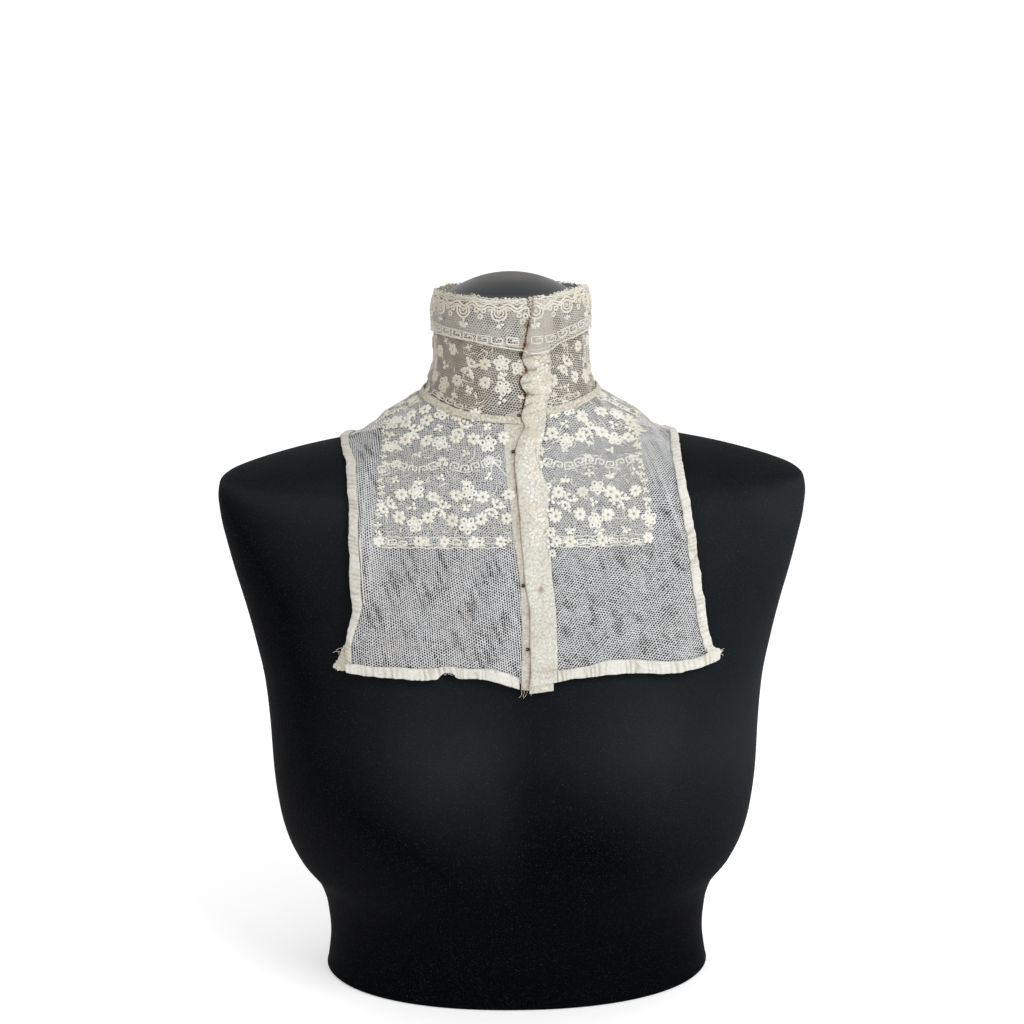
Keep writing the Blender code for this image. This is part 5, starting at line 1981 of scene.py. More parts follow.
def pucker(s, t, seed, gather=3.4 * MM, depth=0.80 * MM, slant=0.5):
    """Small puckers across a strip; s along it in metres, t across."""
    full = gathers(s, t, seed, gather, slant)
    return depth * (full - 0.72) * np.clip(np.minimum(t + 0.15, 1.15 - t) * 2.4, 0, 1)


def body_strip(edge_x, width, back, low_z, seed, sign):
    """Half of a side binding: front or back, from its low end up to the ridge.
    sign is +1 where the cloth lies to the right of the outer edge."""
    chart = behind if back else front
    s = np.linspace(0, 1, 240)[:, None]
    t = np.array([a for a, _ in BOUND])[None, :]
    h = np.array([b for _, b in BOUND])[None, :] * MM
    flip = -1 if back else 1

    def at(x, v):
        p, n = chart((flip * x).ravel(), v.ravel())
        return p.reshape(x.shape + (3,)), n.reshape(x.shape + (3,))

    x = edge_x(np.full(s.shape, 0.33)) + sign * 6.0 * MM * t + 0 * s
    v = np.zeros_like(x)
    for _ in range(7):
        top = chart.top(flip * x)
        low = np.interp(low_z, [0.2, 0.45], [0, 0]) * 0
        # the arc height of the low end, from a table of the chart's own column
        low = arc_of(chart, flip * x, low_z)
        v = low + (top - low) * s
        p, n = at(x, v)
        wobble = 0.35 * MM * waves(v, 0 * v, 0.016, seed) + 0.2 * MM * waves(v, 0 * v, 0.006, seed + 3)
        wide = width(p[..., 2])
        x = edge_x(p[..., 2]) + wobble + sign * (wide * (1 + 0.06 * waves(v, 0 * v, 0.02, seed + 5)) * t)
    p, n = at(x, v)
    rise = h + pucker(v, t, seed + 7, depth=1.0 * MM) * (h > 0.4 * MM) + 0.05 * MM
    relief = body_relief(p, back)
    # painted shade: darker in the tucks, where the gathered cloth folds in
    shade_and_dirt = 0.95 * (1 - gathers(v, t, seed + 7, 3.4 * MM, 0.5)) ** 0.95 - 0.10
    return p + n * (rise + relief)[..., None], shade_and_dirt + 0 * rise


def arc_of(chart, u, z):
    """Arc height v on a chart's column where the cloth passes a height z."""
    a = np.clip((np.asarray(u) - chart.us[0]) / (chart.us[1] - chart.us[0]), 0,
                len(chart.us) - 1.001)
    cols = np.unique(a.astype(int))
    z = np.broadcast_to(z, a.shape)
    out = np.zeros(a.shape)
    rising = chart.vs < 0.05
    for c in np.unique(np.concatenate([cols, cols + 1])):
        heights = chart.points[rising, c, 2]
        value = np.interp(z, heights, chart.vs[rising])
        share = np.clip(1 - np.abs(a - c), 0, 1)
        out = out + share * value
    return out


WIDE = {"left": ([.250, .258, .268, .275, .284, .292, .300, .317, .333, .350, .365, .385],
                 [3.4, 3.4, 3.4, 3.7, 4.2, 5.2, 6.0, 7.2, 6.6, 5.8, 5.8, 6.6]),
        "right": ([.25, .27, .30, .35, .39], [5.8, 5.6, 5.8, 6.0, 6.2])}


def binding_width(side):
    heights, wide = WIDE[side]
    return lambda z: np.interp(z, heights, wide) * MM


for side, sign in (("left", 1), ("right", -1)):
    low = {"left": 0.2600, "right": 0.2680}[side]
    front_part, shade_and_dirt = body_strip(table_edge(shown, side), binding_width(side), False, low,
                                  900 + sign, sign)
    back_part, more = body_strip(table_edge(shown, "back_" + side), lambda z: 7.4 * MM + 0 * z, True,
                                 0.2632, 930 + sign, sign)
    place = np.concatenate([front_part, back_part[::-1][1:]])
    shade_and_dirt = np.concatenate([shade_and_dirt, more[::-1][1:]])
    if sign < 0:
        place, shade_and_dirt = place[:, ::-1], shade_and_dirt[:, ::-1]
    ob = strip_piece("binding_" + side, place, lay_out(place), cotton_look,
                     0.20 if side == "left" else 0.04, shade_and_dirt=shade_and_dirt)
    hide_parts("side_binding_" + side)


def hem_strip(x0, x1, table, back, seed, step=0.6 * MM):
    """A hem binding: stations run along x; t = 0 is its lower folded edge."""
    s = np.linspace(0, 1, int(abs(x1 - x0) / step))[:, None]
    t = np.array([a for a, _ in BOUND])[None, :]
    h = np.array([b for _, b in BOUND])[None, :] * MM
    x = x0 + (x1 - x0) * s + 0 * t
    wobble = 0.25 * MM * waves(x, 0 * x, 0.013, seed)
    low = smooth(table["x"], table["low"], x) + wobble
    if not back:
        low = low - 0.5 * MM * ramp(-x, 0.050, 0.068)
    low = low - 0.30 * MM * (
        gathers(x, 0 * x, seed + 7, 3.7 * MM, 0.25) - 0.6)
    high = smooth(table["x"], table["high"], x) + 0.25 * MM * waves(x, 0 * x, 0.017, seed + 1)
    if not back:
        high = high + 0.6 * MM * ramp(-x, 0.000, 0.012)
    z = low + (high - low) * t
    p, n = on_cloth(x, z, back)
    rise = h + pucker(x, t, seed + 7, 3.7 * MM, 1.10 * MM, 0.25) * (h > 0.4 * MM) + 0.05 * MM
    if not back:                   # its ends lie over the side bindings
        rise = rise + 1.25 * MM * (ramp(-x, 0.0985, 0.1030) + ramp(x, 0.1150, 0.1195))
    # painted shade: darker in the tucks, where the gathered cloth folds in
    shade_and_dirt = 1.0 * (1 - gathers(x, t, seed + 7, 3.7 * MM, 0.25)) ** 0.9 - 0.12
    return p + n * (rise + body_relief(p, back))[..., None], shade_and_dirt + 0 * rise


SPANS = {
    "front_left": (-0.1056, 0.0036, hem_front, False),
    "front_right": (0.02800, 0.1310, hem_front, False),
    "back": (float(table_edge(shown, "back_left")(0.267)) + 7.0 * MM,
             float(table_edge(shown, "back_right")(0.267)) - 7.0 * MM, hem_back, True)}
for name, (x0, x1, table, back) in SPANS.items():
    place, shade_and_dirt = hem_strip(x0, x1, table, back, 950 + len(name))
    if back:
        place, shade_and_dirt = place[::-1], shade_and_dirt[::-1]
    ob = strip_piece("hem_" + name, place[:, ::-1], lay_out(place[:, ::-1]), cotton_look,
                     {"front_left": 0.02, "front_right": 0.02, "back": 0.12}[name],
                     shade_and_dirt=shade_and_dirt[:, ::-1])
    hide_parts("hem_binding_" + name)


# Neck tape: over the seam, from beside the overlap right round to the opening.
FOLDED = [(.10, .72), (.03, .78), (.0, 1.1), (.03, 1.55), (.12, 1.78), (.3, 1.90), (.5, 1.95),
          (.7, 1.92), (.88, 1.82), (.97, 1.60), (1.0, 1.30), (.97, 1.12), (.88, 1.06)]
first = float(angle_of(slit_right(0.4215), 0.4215)) - 0.6
last = 360 + float(angle_of(slit_left(0.4140) - 0.9 * MM, 0.4140))
angle = np.linspace(first, last, 330)[:, None]
t = np.array([a for a, _ in FOLDED])[None, :]
h = np.array([b for _, b in FOLDED])[None, :] * MM
top = seam_top(angle) + 0.15 * MM * waves(angle * TURN, 0 * angle, 0.012, 961)
z = top - tape_fall(angle) * (1 + 0.05 * waves(angle * TURN, 0 * angle, 0.03, 963)) * t
p, n = on_collar(angle, z)
rise = h + pucker(angle * TURN, t, 965, 7.5 * MM, 0.16 * MM, 0.3) * (h > 1.2 * MM)
relief = np.where(z > 0, collar_relief(p), 0)
place = p + n * (rise + relief)[..., None]
ob = strip_piece("neck_seam_tape", place[:, ::-1], lay_out(place[:, ::-1]), trim_look, 0.14)
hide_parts("neck_tape")

# Shoulder tapes: between the tulle and the yoke, along the ridge.
THIN = [(.12, .50), (.02, .50), (-.02, .54), (.02, .60), (.2, .64), (.5, .66), (.8, .64), (.98, .60),
        (1.02, .54), (.98, .50), (.88, .50)]
for side, sign in (("left", -1), ("right", 1)):
    x = sign * np.linspace(0.0700, 0.1066, 60)[:, None]
    t = np.array([a for a, _ in THIN])[None, :]
    h = np.array([b for _, b in THIN])[None, :] * MM
    u = x + 0 * t
    v = front.top(u) + (0.5 - t) * 8.4 * MM - 1.4 * MM * (sign > 0)
    place, p = front.lay(u.ravel(), v.ravel(), (h + 0 * u).ravel())
    place = place.reshape(u.shape + (3,))
    if sign > 0:
        place = place[:, ::-1]
    ob = strip_piece("shoulder_seam_" + side, place, lay_out(place), cotton_look, 0.15)
    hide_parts("shoulder_tape_" + side)


# ----------------------------------------------------------------- opening ----
# Small pleats the overlap takes at the neck: heights at its left and right edge,
# depth and width in millimetres.
PLEATS = """
left   right  deep  wide
0.4700 0.4722 0.30  0.90
0.4622 0.4632 0.35  0.80
0.4540 0.4560 1.10  0.70
0.4447 0.4495 1.20  0.65
0.4370 0.4392 0.70  0.75
0.4300 0.4290 1.20  0.65
0.4228 0.4250 0.95  0.62
0.4165 0.4200 0.80  0.70
0.4085 0.4112 0.38  0.90
0.3995 0.4003 0.28  1.00
0.3600 0.3580 0.12  1.40
0.3180 0.3130 0.14  1.60
0.2612 0.2634 0.42  0.55
"""
pleats = read(PLEATS)


def opening_relief(p, z):
    share = ramp(z, 0.4130, 0.4230)
    return body_relief(p, False) * (1 - share) + collar_relief(p) * share


OVER = [(.30, .92), (.14, .92), (.05, .95), (.0, 1.15), (-.01, 1.45), (.02, 1.72), (.07, 1.88),
        (.14, 1.94), (.22, 1.95), (.31, 1.95), (.40, 1.96), (.49, 1.96), (.58, 1.96), (.67, 1.95),
        (.76, 1.94), (.85, 1.91), (.92, 1.84), (.97, 1.68), (1.0, 1.42), (.985, 1.20), (.90, 1.10)]


def overlap_sheet(low, high, rows, left, right, extra, seed):
    t = np.array([a for a, _ in OVER])[None, :]
    h = np.array([b for _, b in OVER])[None, :] * MM
    z = low(t) + (high - low(t)) * np.linspace(0, 1, rows)[:, None]
    x = left(z) * (1 - t) + right(z) * t
    p, n = on_cloth(x, z)
    rise = h + extra
    shown_side = ramp(h, 0.9 * MM, 1.6 * MM)
    for k in range(len(pleats["left"])):
        at = pleats["left"][k] + (pleats["right"][k] - pleats["left"][k]) * t
        at = at + 0.45 * MM * waves(t * 0.017, 0 * t, 0.011, seed + k)
        d, w = z - at, pleats["wide"][k] * MM
        deep = pleats["deep"][k] * MM
        rise = rise + shown_side * deep * (0.62 * np.exp(-((d - 2.0 * w) / (1.7 * w)) ** 2)
                                           - 0.75 * np.exp(-(d / (0.62 * w)) ** 2)
                                           + 0.30 * np.exp(-((d + 1.9 * w) / (1.6 * w)) ** 2))
    puff = 0.30 * MM * ramp(z, 0.405, 0.430) * (1 - 0.6 * ramp(z, 0.462, 0.475))
    rise = rise + shown_side * (puff * (0.6 + 0.4 * waves(x, z, 0.0075, seed + 40))
                                + 0.16 * MM * waves(x, z * 0.4, 0.010, seed + 41)
                                + 0.07 * MM * waves(x, z, 0.0042, seed + 42))
    # the overlap's left edge stands off a little between the hooks
    lift = 0.30 * MM * waves(z, 0 * z, 0.026, seed + 43) * np.exp(-((t - 0.0) / 0.22) ** 2)
    rise = rise + np.maximum(lift, 0)
    return p + n * (rise + opening_relief(p, z))[..., None]


def pleat_lines(place):
    """Where the folded pleats lie in their own shade, from 0 to 1."""
    t = np.array([a for a, _ in OVER])[None, :]
    total = 0.0
    for k in range(len(pleats["left"])):
        at = pleats["left"][k] + (pleats["right"][k] - pleats["left"][k]) * t
        at = at + 0.45 * MM * waves(t * 0.017, 0 * t, 0.011, 981 + k)
        d = (place[..., 2] - at) / (0.95 * pleats["wide"][k] * MM)
        fade = 0.55 + 0.45 * waves(t * 0.017, 0 * t + pleats["left"][k], 0.012, 987)
        total = total + min(1.3 * pleats["deep"][k], 1.2) * np.exp(-d ** 2) * np.clip(fade, 0.15, 1)
    return np.clip(total, 0, 1.1)


def over_left(z):
    return slit_left(z)


def over_right(z):
    return slit_right(z) + 0.15 * MM * waves(z, 0 * z, 0.009, 971)


place = overlap_sheet(lambda t: 0.2520 + 0.0032 * t, 0.4905, 420, over_left, over_right, 0.0, 981)
# darker on its upper part, and painted shade along the pleats
ob = strip_piece("overlap_tape", place, lay_out(place), overlap_look, 0.02, 1.0,
                 shade_and_dirt=0.20 * ramp(place[..., 2], 0.425, 0.445) - 0.08 + 1.0 * pleat_lines(place))
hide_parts("placket_overlap")
overlap = ob


class GridChart:
    """Lays a pattern over a net of places: u across and v along, both from 0 to 1."""

    def __init__(self, net, wide, tall):
        self.net, self.wide, self.tall = net, wide, tall

    def lay(self, u, v, h):
        rows, cols = self.net.shape[:2]
        r = np.clip(v / self.tall * (rows - 1), 0, rows - 1.001)
        c = np.clip(u / self.wide * (cols - 1), -1.2, cols + 0.2)
        i, j = r.astype(int), np.clip(c.astype(int), 0, cols - 2)
        fr, fc = (r - i)[:, None], (c - j)[:, None]
        g = self.net
        at = ((g[i, j] * (1 - fc) + g[i, j + 1] * fc) * (1 - fr)
              + (g[i + 1, j] * (1 - fc) + g[i + 1, j + 1] * fc) * fr)
        along = g[i + 1, j] - g[i, j]
        across = g[i, j + 1] - g[i, j]
        n = np.cross(across, along)
        n = n / np.maximum(np.linalg.norm(n, axis=1, keepdims=True), 1e-9)
        return at + n * h[:, None], at


# The overlap is cut from lace laid on tape: above the yoke's foot it shows a worn
# all-over pattern, and some of its flowers stand over the right edge.
face = place[:, 8:17]
tall = float(np.linalg.norm(np.diff(face[:, 4], axis=0), axis=1).sum())
wide = float(np.linalg.norm(np.diff(face, axis=1), axis=2).sum(1).mean())
cover = GridChart(face, wide, tall)
heights = face[:, 4, 2]
flat = Flat()
rng = np.random.default_rng(47)
for k in range(64):
    z = 0.3400 + (0.4560 - 0.3400) * (k + rng.uniform(-0.4, 0.4)) / 63
    v = float(np.interp(z, heights, np.linspace(0, tall, len(heights))))
    u = wide * (0.16 + 0.68 * ((k * 0.618) % 1.0))
    kind = rng.random()
    if kind < 0.34:
        daisy(flat, (u, v), rng.uniform(6.5, 8.4) * MM, 0.03 * MM, rng, 7)
    elif kind < 0.60:
        four_petals(flat, (u, v), 6.0 * MM, 0.03 * MM, rng)
    elif kind < 0.80:
        leaf(flat, (u, v), rng.uniform(0, 3.1), 4.6 * MM, 2.0 * MM, 0.03 * MM, rng)
    else:
        sprig(flat, (u, v), rng.uniform(0, 6.2), 5.4 * MM, 0.03 * MM, rng, 3, 0.4)
verts, quads, tris = flat.arrays()
verts[:, 2] = 0.05 * MM + (verts[:, 2] - 0.03 * MM) * 0.55
at, p = cover.lay(verts[:, 0], verts[:, 1], verts[:, 2])
masks = masks_for(p, 0.24, 0.9)
# adds the motifs' painted shade and their own tone, made stronger
masks["age_and_shade"] = masks["age_and_shade"] + np.concatenate(flat.tones) * 2.6
ob = worn_lace = piece("overlap_flowers", at + HOME, quads, tris, uv=verts[:, :2], masks=masks,
                       mats=[floss_look])
flat = Flat()
for z in (0.4020, 0.3945, 0.3870, 0.3660, 0.3590, 0.3470, 0.3400, 0.3345):
    x = float(slit_right(z)) + rng.uniform(-0.6, 1.4) * MM
    u, v = x, z
    (daisy if rng.random() < 0.5 else four_petals)(flat, (u, v), rng.uniform(5.5, 7.5) * MM, 0.0, rng)
verts, quads, tris = flat.arrays()
p, n = on_cloth(verts[:, 0], verts[:, 1])
at = p + n * (2.12 * MM + verts[:, 2] + body_relief(p, False))[:, None]
masks = masks_for(p, 0.05, 0.4)
# adds the motifs' painted shade and their own tone
masks["age_and_shade"] = masks["age_and_shade"] + np.concatenate(flat.tones)
ob = edge_lace = piece("overlap_edge_flowers", at + HOME, quads, tris, uv=verts[:, :2], masks=masks,
                       mats=[floss_look])
# its end is turned up behind: the turned part shows below as a second layer
place = overlap_sheet(lambda t: 0.2478 + 0.0022 * t, 0.2605, 24,
                      lambda z: slit_left(z) + 0.0003, lambda z: slit_right(z) - 0.0020, -0.42 * MM, 985)
ob = overlap_end = strip_piece("overlap_end", place, lay_out(place), overlap_look, 0.10, 1.0)

FLAP = [(.10, .50), (.02, .50), (0, .62), (.03, .78), (.1, .86), (.25, .88), (.45, .88), (.7, .86),
        (1.0, .84)]
t = np.array([a for a, _ in FLAP])[None, :]
h = np.array([b for _, b in FLAP])[None, :] * MM
z = 0.2492 + (0.4895 - 0.2492) * np.linspace(0, 1, 300)[:, None] + 0 * t
z = np.where(z < 0.254, z + 0.0012 * (1 - t) * ramp(z, 0.254, 0.2492), z)
left = under_left(z) + 0.15 * MM * waves(z, 0 * z, 0.011, 991)
x = left + (slit_left(z) + 6.2 * MM - left) * t
p, n = on_cloth(x, z)
sink = ramp(z, 0.4120, 0.4190)
rise = h * (1 - sink) + (0.05 * MM + 0.10 * h) * sink
rise = rise + 0.10 * MM * waves(x, z, 0.006, 993) * (1 - sink) * (h > 0.6 * MM)
place = p + n * (rise + opening_relief(p, z))[..., None]
# darker in a band along its low end
ob = strip_piece("underlap_tape", place, lay_out(place), overlap_look, 0.22, 0.9,
                 shade_and_dirt=0.35 * np.exp(-((place[..., 2] - 0.250) / 0.0022) ** 2))
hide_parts("placket_underlap")


# ------------------------------------------------------- stitches and wear ----
def thread(flat_or_list, points, radius=0.16 * MM, sides=5):
    """A round thread through points in the table frame: verts and quads."""
    points = np.asarray(points, float)
    ahead = np.gradient(points, axis=0)
    ahead = ahead / np.maximum(np.linalg.norm(ahead, axis=1, keepdims=True), 1e-9)
    up = np.where(np.abs(ahead[:, 2:3]) < 0.9, [[0, 0, 1.0]], [[1.0, 0, 0]])
    a = np.cross(ahead, up)
    a = a / np.linalg.norm(a, axis=1, keepdims=True)
    b = np.cross(ahead, a)
    turn = np.arange(sides) * 2 * math.pi / sides
    ring_at = (a[:, None] * np.cos(turn)[None, :, None] + b[:, None] * np.sin(turn)[None, :, None])
    taper = np.ones(len(points))
    taper[0] = taper[-1] = 0.4
    verts = points[:, None] + ring_at * (radius * taper)[:, None, None]
    flat_or_list.append((verts.reshape(-1, 3), strip_quads(len(points), sides, closed_cols=True)))


def joined(parts):
    verts, quads, count = [], [], 0
    for v, q in parts:
        verts.append(v)
        quads.append(q + count)
        count += len(v)
    return np.concatenate(verts), np.concatenate(quads)


def on_strip(x, z, lift, back=False):
    x, z = np.asarray(x, float), np.asarray(z, float)
    p, n = on_cloth(x, z, back)
    return p + n * (lift + body_relief(p, back))[:, None]


rng = np.random.default_rng(29)
parts = []
# running stitches along the bindings and the opening
for side, sign in (("left", 1), ("right", -1)):
    for z in np.arange(0.272, 0.384, 0.0041):
        zz = np.linspace(z, z + rng.uniform(0.0018, 0.0026), 4)
        inset = binding_width(side)(zz) - 1.0 * MM
        x = table_edge(shown, side)(zz) + sign * (inset + rng.normal(0, 0.15) * MM)
        thread(parts, on_strip(x, zz, 1.62 * MM), 0.15 * MM)
for x0, x1 in ((-0.100, 0.002), (0.030, 0.120)):
    for x in np.arange(x0, x1, 0.0044):
        xx = np.linspace(x, x + rng.uniform(0.0018, 0.0026), 4)
        z = smooth(hem_front["x"], hem_front["high"], xx) - 1.0 * MM + rng.normal(0, 0.12) * MM
        thread(parts, on_strip(xx, z, 1.58 * MM), 0.15 * MM)
# a cord lies just inside the left binding, where the seam shows double
zz = np.linspace(0.3030, 0.3460, 60)
x = table_edge(shown, "left")(zz) + binding_width("left")(zz) + 1.5 * MM + 0.3 * MM * waves(
    zz, 0 * zz, 0.013, 37)
thread(parts, on_strip(x, zz, 1.10 * MM), 0.36 * MM)
verts, quads = joined(parts)
ob = stitches = piece("seam_stitches", verts + HOME, quads, masks=masks_for(verts, 0.15), mats=[floss_look])

# torn threads by the left binding, at the foot of the opening and at the right hem
parts = []


def wander(start, heading, length, curl, lift, count=18):
    """Places of a loose thread lying on the cloth: x and z, with some curl."""
    s = np.linspace(0, 1, count)
    turn = heading + curl * np.sin(s * rng.uniform(2, 4.5) + rng.uniform(0, 6)) + rng.normal(0, 0.1)
    x = start[0] + np.cumsum(np.cos(turn)) * length / count
    z = start[1] + np.cumsum(np.sin(turn)) * length / count
    return on_strip(x, z, lift * (0.6 + 0.4 * np.sin(s * 5)))


for start, heading, length, curl, lift in (
        ((-0.1065, 0.2755), -2.5, 0.0075, 0.5, 0.0012), ((-0.1072, 0.2712), -2.8, 0.0085, 0.6, 0.0013),
        ((-0.1060, 0.2790), -2.2, 0.0095, 0.4, 0.0011), ((-0.1068, 0.2690), -3.0, 0.0060, 0.8, 0.0014),
        ((0.0045, 0.2508), -1.9, 0.0062, 0.6, 0.0010), ((0.0060, 0.2503), -1.3, 0.0048, 0.7, 0.0011),
        ((0.0085, 0.2500), -1.6, 0.0058, 0.5, 0.0009), ((0.0105, 0.2496), -1.1, 0.0036, 0.9, 0.0010),
        ((0.1322, 0.2672), 0.1, 0.0035, 0.5, 0.0013), ((0.1316, 0.2650), -0.5, 0.0040, 0.6, 0.0013),
        ((-0.0835, 0.3440), -1.9, 0.0110, 0.7, 0.0012), ((0.0868, 0.3620), -1.2, 0.0090, 0.8, 0.0012)):
    thread(parts, wander(start, heading, length, curl, lift), 0.13 * MM)
verts, quads = joined(parts)
ob = threads = piece("loose_threads", verts + HOME, quads, masks=masks_for(verts, 0.75), mats=[floss_look])


def scrap(name, outline, mat, age_and_shade, lift, seed):
    """A small frayed piece of cloth with a ragged outline (x, z), over the cloth."""
    rough = np.random.default_rng(seed)
    outline = np.asarray(outline, float)
    pts = []
    for a, b in zip(outline, np.roll(outline, -1, 0)):
        for s in np.linspace(0, 1, 9)[:-1]:
            pts.append(a + (b - a) * s + rough.normal(0, 0.00026, 2))
    pts = np.array(pts)
    mid = pts.mean(0)
    rows = [mid + (pts - mid) * s for s in (1.0, 0.8, 0.55, 0.3)]
    at = np.stack(rows)                                   # ring, around
    k, n = at.shape[:2]
    flat_at = at.reshape(-1, 2)
    verts = on_strip(flat_at[:, 0], flat_at[:, 1],
                     lift + 0.35 * MM * waves(flat_at[:, 0], flat_at[:, 1], 0.006, seed)
                     + 0.2 * MM * rough.normal(0, 0.4, len(flat_at)))
    verts = np.concatenate([verts, verts[-n:].mean(0, keepdims=True)])
    flat_at = np.concatenate([flat_at, mid[None]])
    quads = strip_quads(k, n, closed_cols=True)
    area = 0.5 * np.sum(pts[:, 0] * np.roll(pts[:, 1], -1) - np.roll(pts[:, 0], -1) * pts[:, 1])
    ring_ids = np.arange(n) + (k - 1) * n
    tris = np.stack([ring_ids, np.roll(ring_ids, -1), np.full(n, k * n)], axis=1)
    if area < 0:
        quads, tris = quads[:, ::-1], tris[:, ::-1]
    ob = piece(name, verts + HOME, quads, tris, uv=flat_at, cut=flat_at,
               masks={"age_and_shade": np.full(len(verts), age_and_shade), "stain_and_gap_shadow": np.full(len(verts), 0.0)}, mats=[mat])
    return ob


frayed = scrap("frayed_scrap", [(-0.1052, 0.2790), (-0.1088, 0.2748), (-0.1110, 0.2690),
                                (-0.1146, 0.2636), (-0.1150, 0.2612), (-0.1118, 0.2600),
                                (-0.1068, 0.2604), (-0.1035, 0.2660)], cotton_look, 0.62, 0.4 * MM, 31)
tab = scrap("loose_tab", [(0.1228, 0.2722), (0.1262, 0.2715), (0.1334, 0.2674), (0.1330, 0.2664),
                    (0.1268, 0.2632), (0.1232, 0.2640)], cotton_look, 0.20, 1.9 * MM, 33)


# ------------------------------------------------------------------- stand ----
def form_points(z, turn):
    """Places of the form's skin at heights z, in directions turn (radians)."""
    a, f, b, n = form_section(z)
    c, s = np.cos(turn), np.sin(turn)
    x = a * np.sign(c) * np.abs(c) ** (2 / n)
    y = np.where(s > 0, b, f) * np.sign(s) * np.abs(s) ** (2 / n)
    y = y - np.where(s < 0, bust(x, z) * np.abs(s) ** (2 / n), 0)
    return np.stack([x, y, z + 0 * turn], axis=-1)


steps = np.concatenate([np.linspace(CUT_Z, 0.350, 96), np.linspace(0.3525, 0.400, 34),
                        np.linspace(0.4018, NECK_TOP_Z, 30)])
turn = np.linspace(0, 2 * math.pi, 168, endpoint=False)[None, :]
skin = form_points(steps[:, None] + 0 * turn, turn)
rows, cols = skin.shape[:2]
soft = skin[:1] * [1, 1, 1]
base = [skin[0] * [0.994, 0.994, 1.0] + [0, 0, 0]]
skin[0, :, 2] += 0.0010                                # the base's edge is rounded
base_z = CUT_Z
verts = [skin.reshape(-1, 3)]
quads = [strip_quads(rows, cols, closed_cols=True)]
count = rows * cols
below = []
for scale in (0.992, 0.90, 0.70, 0.45, 0.20):
    ring_at = skin[0] * [scale, scale, 0] + [0, 0, base_z]
    below.append(ring_at)
    verts.append(ring_at)
chain = [np.arange(cols)] + [count + k * cols + np.arange(cols) for k in range(len(below))]
for a, b in zip(chain[:-1], chain[1:]):
    quads.append(np.stack([a, b, np.roll(b, -1), np.roll(a, -1)], axis=1))
count += len(below) * cols
verts.append(np.array([[0, 0, base_z]]))
tris = [np.stack([chain[-1], np.full(cols, count), np.roll(chain[-1], -1)], axis=1)]
count += 1
above = []
for scale in (0.93, 0.6, 0.3):
    ring_at = skin[-1] * [scale, scale, 1]
    above.append(ring_at)
    verts.append(ring_at)
chain = [(rows - 1) * cols + np.arange(cols)] + [count + k * cols + np.arange(cols)
                                                 for k in range(len(above))]
for a, b in zip(chain[:-1], chain[1:]):
    quads.append(np.stack([a, np.roll(a, -1), np.roll(b, -1), b], axis=1))
count += len(above) * cols
verts.append(np.array([[0, 0, NECK_TOP_Z]]))
tris.append(np.stack([chain[-1], np.roll(chain[-1], -1), np.full(cols, count)], axis=1))
ob = piece("jersey_torso", np.concatenate(verts) + HOME, np.concatenate(quads),
           np.concatenate(tris), mats=[jersey])
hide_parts("form_torso")

# Neck cap: a turned plug with a domed top and a rounded shoulder.
dome = (CAP_RADIUS ** 2 + 0.0165 ** 2) / (2 * 0.0165)
profile = [(r, CAP_TOP_Z - dome + math.sqrt(dome ** 2 - r ** 2))
           for r in np.linspace(0.0016, CAP_RADIUS - 0.0045, 12)]
lip = profile[-1][1]
for k in range(1, 8):
    a = math.pi / 2 * k / 7
    start = math.pi / 2 - 0.42
    b = start - (start) * k / 7
    profile.append((CAP_RADIUS - 0.0045 + 0.0045 * math.sin(a), lip - 0.0042 * (1 - math.cos(a))))
profile += [(CAP_RADIUS, lip - 0.0090), (CAP_RADIUS - 0.0004, lip - 0.0098),
            (CAP_RADIUS - 0.0004, lip - 0.0106), (CAP_RADIUS, lip - 0.0114),
            (CAP_RADIUS, NECK_TOP_Z + 0.0040), (CAP_RADIUS - 0.0015, NECK_TOP_Z + GAP),
            (0.022, NECK_TOP_Z + GAP), (0.004, NECK_TOP_Z + GAP)]
profile = np.array(profile)
turn = np.linspace(0, 2 * math.pi, 96, endpoint=False)
rings = np.stack([np.stack([r * np.cos(turn), r * np.sin(turn), np.full(96, z)], axis=1)
                  for r, z in profile[::-1]])
verts = np.concatenate([rings.reshape(-1, 3), [[0, 0, NECK_TOP_Z + GAP], [0, 0, CAP_TOP_Z]]])
n = len(profile)
low, high = np.arange(96), (n - 1) * 96 + np.arange(96)
tris = np.concatenate([np.stack([np.roll(low, -1), low, np.full(96, n * 96)], axis=1),
                       np.stack([high, np.roll(high, -1), np.full(96, n * 96 + 1)], axis=1)])
ob = piece("neck_cap", verts + HOME, strip_quads(n, 96, closed_cols=True), tris, mats=[cap_black])
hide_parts("form_neck_cap")


# ------------------------------------------------------------------- hooks ----
HOOK_PATH = np.array([(-2.3, 0.50), (-1.3, 0.60), (-0.55, 0.52), (-0.30, 0.0), (-0.55, -0.52),
                      (-1.3, -0.60), (-2.3, -0.50)]) * MM


def rounded(points, count):
    """A smooth line through points."""
    s = np.linspace(0, len(points) - 1, count)
    k = np.clip(s.astype(int), 0, len(points) - 2)
    t = (s - k)[:, None]
    before = points[np.maximum(k - 1, 0)]
    after = points[np.minimum(k + 2, len(points) - 1)]
    a, b = points[k], points[k + 1]
    return 0.5 * (2 * a + (b - before) * t + (2 * before - 5 * a + 4 * b - after) * t ** 2
                  + (3 * a - before - 3 * b + after) * t ** 3)


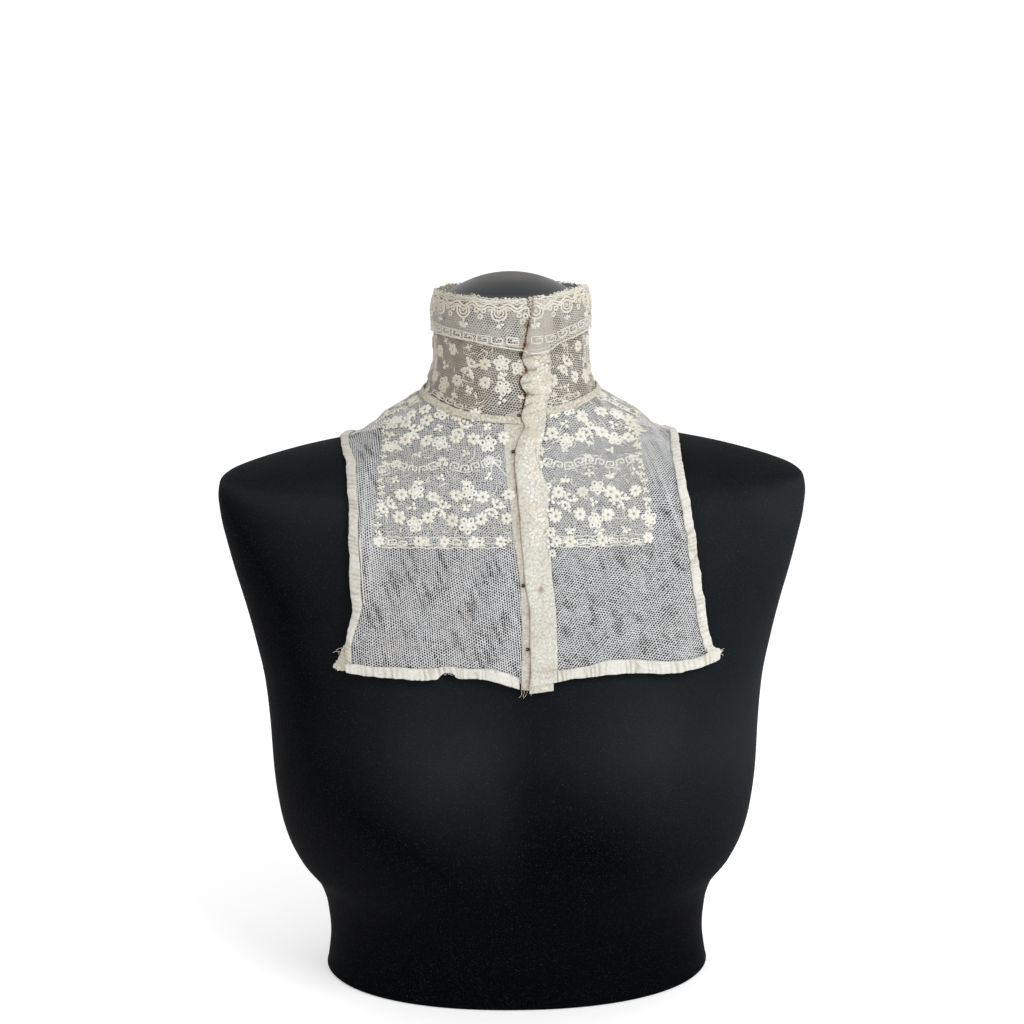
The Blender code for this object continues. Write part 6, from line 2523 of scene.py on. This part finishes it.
for number, z0 in enumerate(hooks["height"], 1):
    path = rounded(HOOK_PATH, 25)
    x = smooth(opening["height"], opening["x"], np.full(25, z0)) - SEAM + path[:, 0]
    z = z0 + path[:, 1]
    p, n = on_cloth(x, z)
    parts = []
    thread(parts, p + n * (WALL + 0.35 * MM + 2 * GAP), 0.42 * MM, 10)
    verts, quads = joined(parts)
    ob = piece("wire_hook_%d" % number, verts + HOME, quads, mats=[wire_black])
    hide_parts("hook_%d" % number)


# ------------------------------------------------------------ floor, lights ----
mesh = bpy.data.meshes.new("floor")
size, low = 6.0, -0.0004
mesh.from_pydata([(-size, -size, low), (size, -size, low), (size, size, low), (-size, size, low)],
                 [], [(0, 1, 2, 3)])
mesh.materials.append(floor_look())
floor = bpy.data.objects.new("floor", mesh)
home.objects.link(floor)

scene = bpy.context.scene
world = bpy.data.worlds.new("room")
scene.world = world
world.use_nodes = True
tree = world.node_tree
way = tree.nodes.new("ShaderNodeSeparateXYZ")
tree.links.new(tree.nodes.new("ShaderNodeTexCoord").outputs["Generated"], way.inputs["Vector"])
glow = tree.nodes.new("ShaderNodeMapRange")            # the room is brighter behind the stand
tree.links.new(way.outputs["Y"], glow.inputs["Value"])
for key, value in (("From Min", -0.45), ("From Max", 0.75), ("To Min", 0.56), ("To Max", 1.04)):
    glow.inputs[key].default_value = value
plain = tree.nodes.new("ShaderNodeMix")                # what shows behind it is plain white
tree.links.new(tree.nodes.new("ShaderNodeLightPath").outputs["Is Camera Ray"], plain.inputs["Factor"])
tree.links.new(glow.outputs["Result"], plain.inputs["A"])
plain.inputs["B"].default_value = 1.04
tree.nodes["Background"].inputs["Color"].default_value = (1.0, 1.0, 1.0, 1.0)
tree.links.new(plain.outputs["Result"], tree.nodes["Background"].inputs["Strength"])


def area_light(name, at, aim, size, power, colour=(1, 1, 1)):
    data = bpy.data.lights.new(name, "AREA")
    data.shape = "DISK"
    data.size, data.energy, data.color = size, power, colour
    ob = bpy.data.objects.new(name, data)
    home.objects.link(ob)
    ob.location = at
    ob.rotation_euler = (Vector(aim) - Vector(at)).to_track_quat("-Z", "Y").to_euler()


area_light("soft_right", (1.0, -1.25, 1.55), (0, 0, 0.36), 1.0, 22.0)
area_light("soft_left", (-1.3, -1.0, 1.1), (0, 0, 0.36), 1.2, 1.2)

eye = bpy.data.cameras.new("camera")
eye.sensor_width, eye.lens = 36.0, 74.57
camera = bpy.data.objects.new("camera", eye)
home.objects.link(camera)
camera.matrix_world = (Matrix.Translation((0, -1.38994, 0.6235))
                       @ Euler((math.radians(90 - 12.2), 0, 0)).to_matrix().to_4x4()
                       @ Matrix.Rotation(math.radians(-0.62), 4, "Z"))
scene.camera = camera
scene.view_settings.view_transform = "Standard"
scene.view_settings.look = "None"
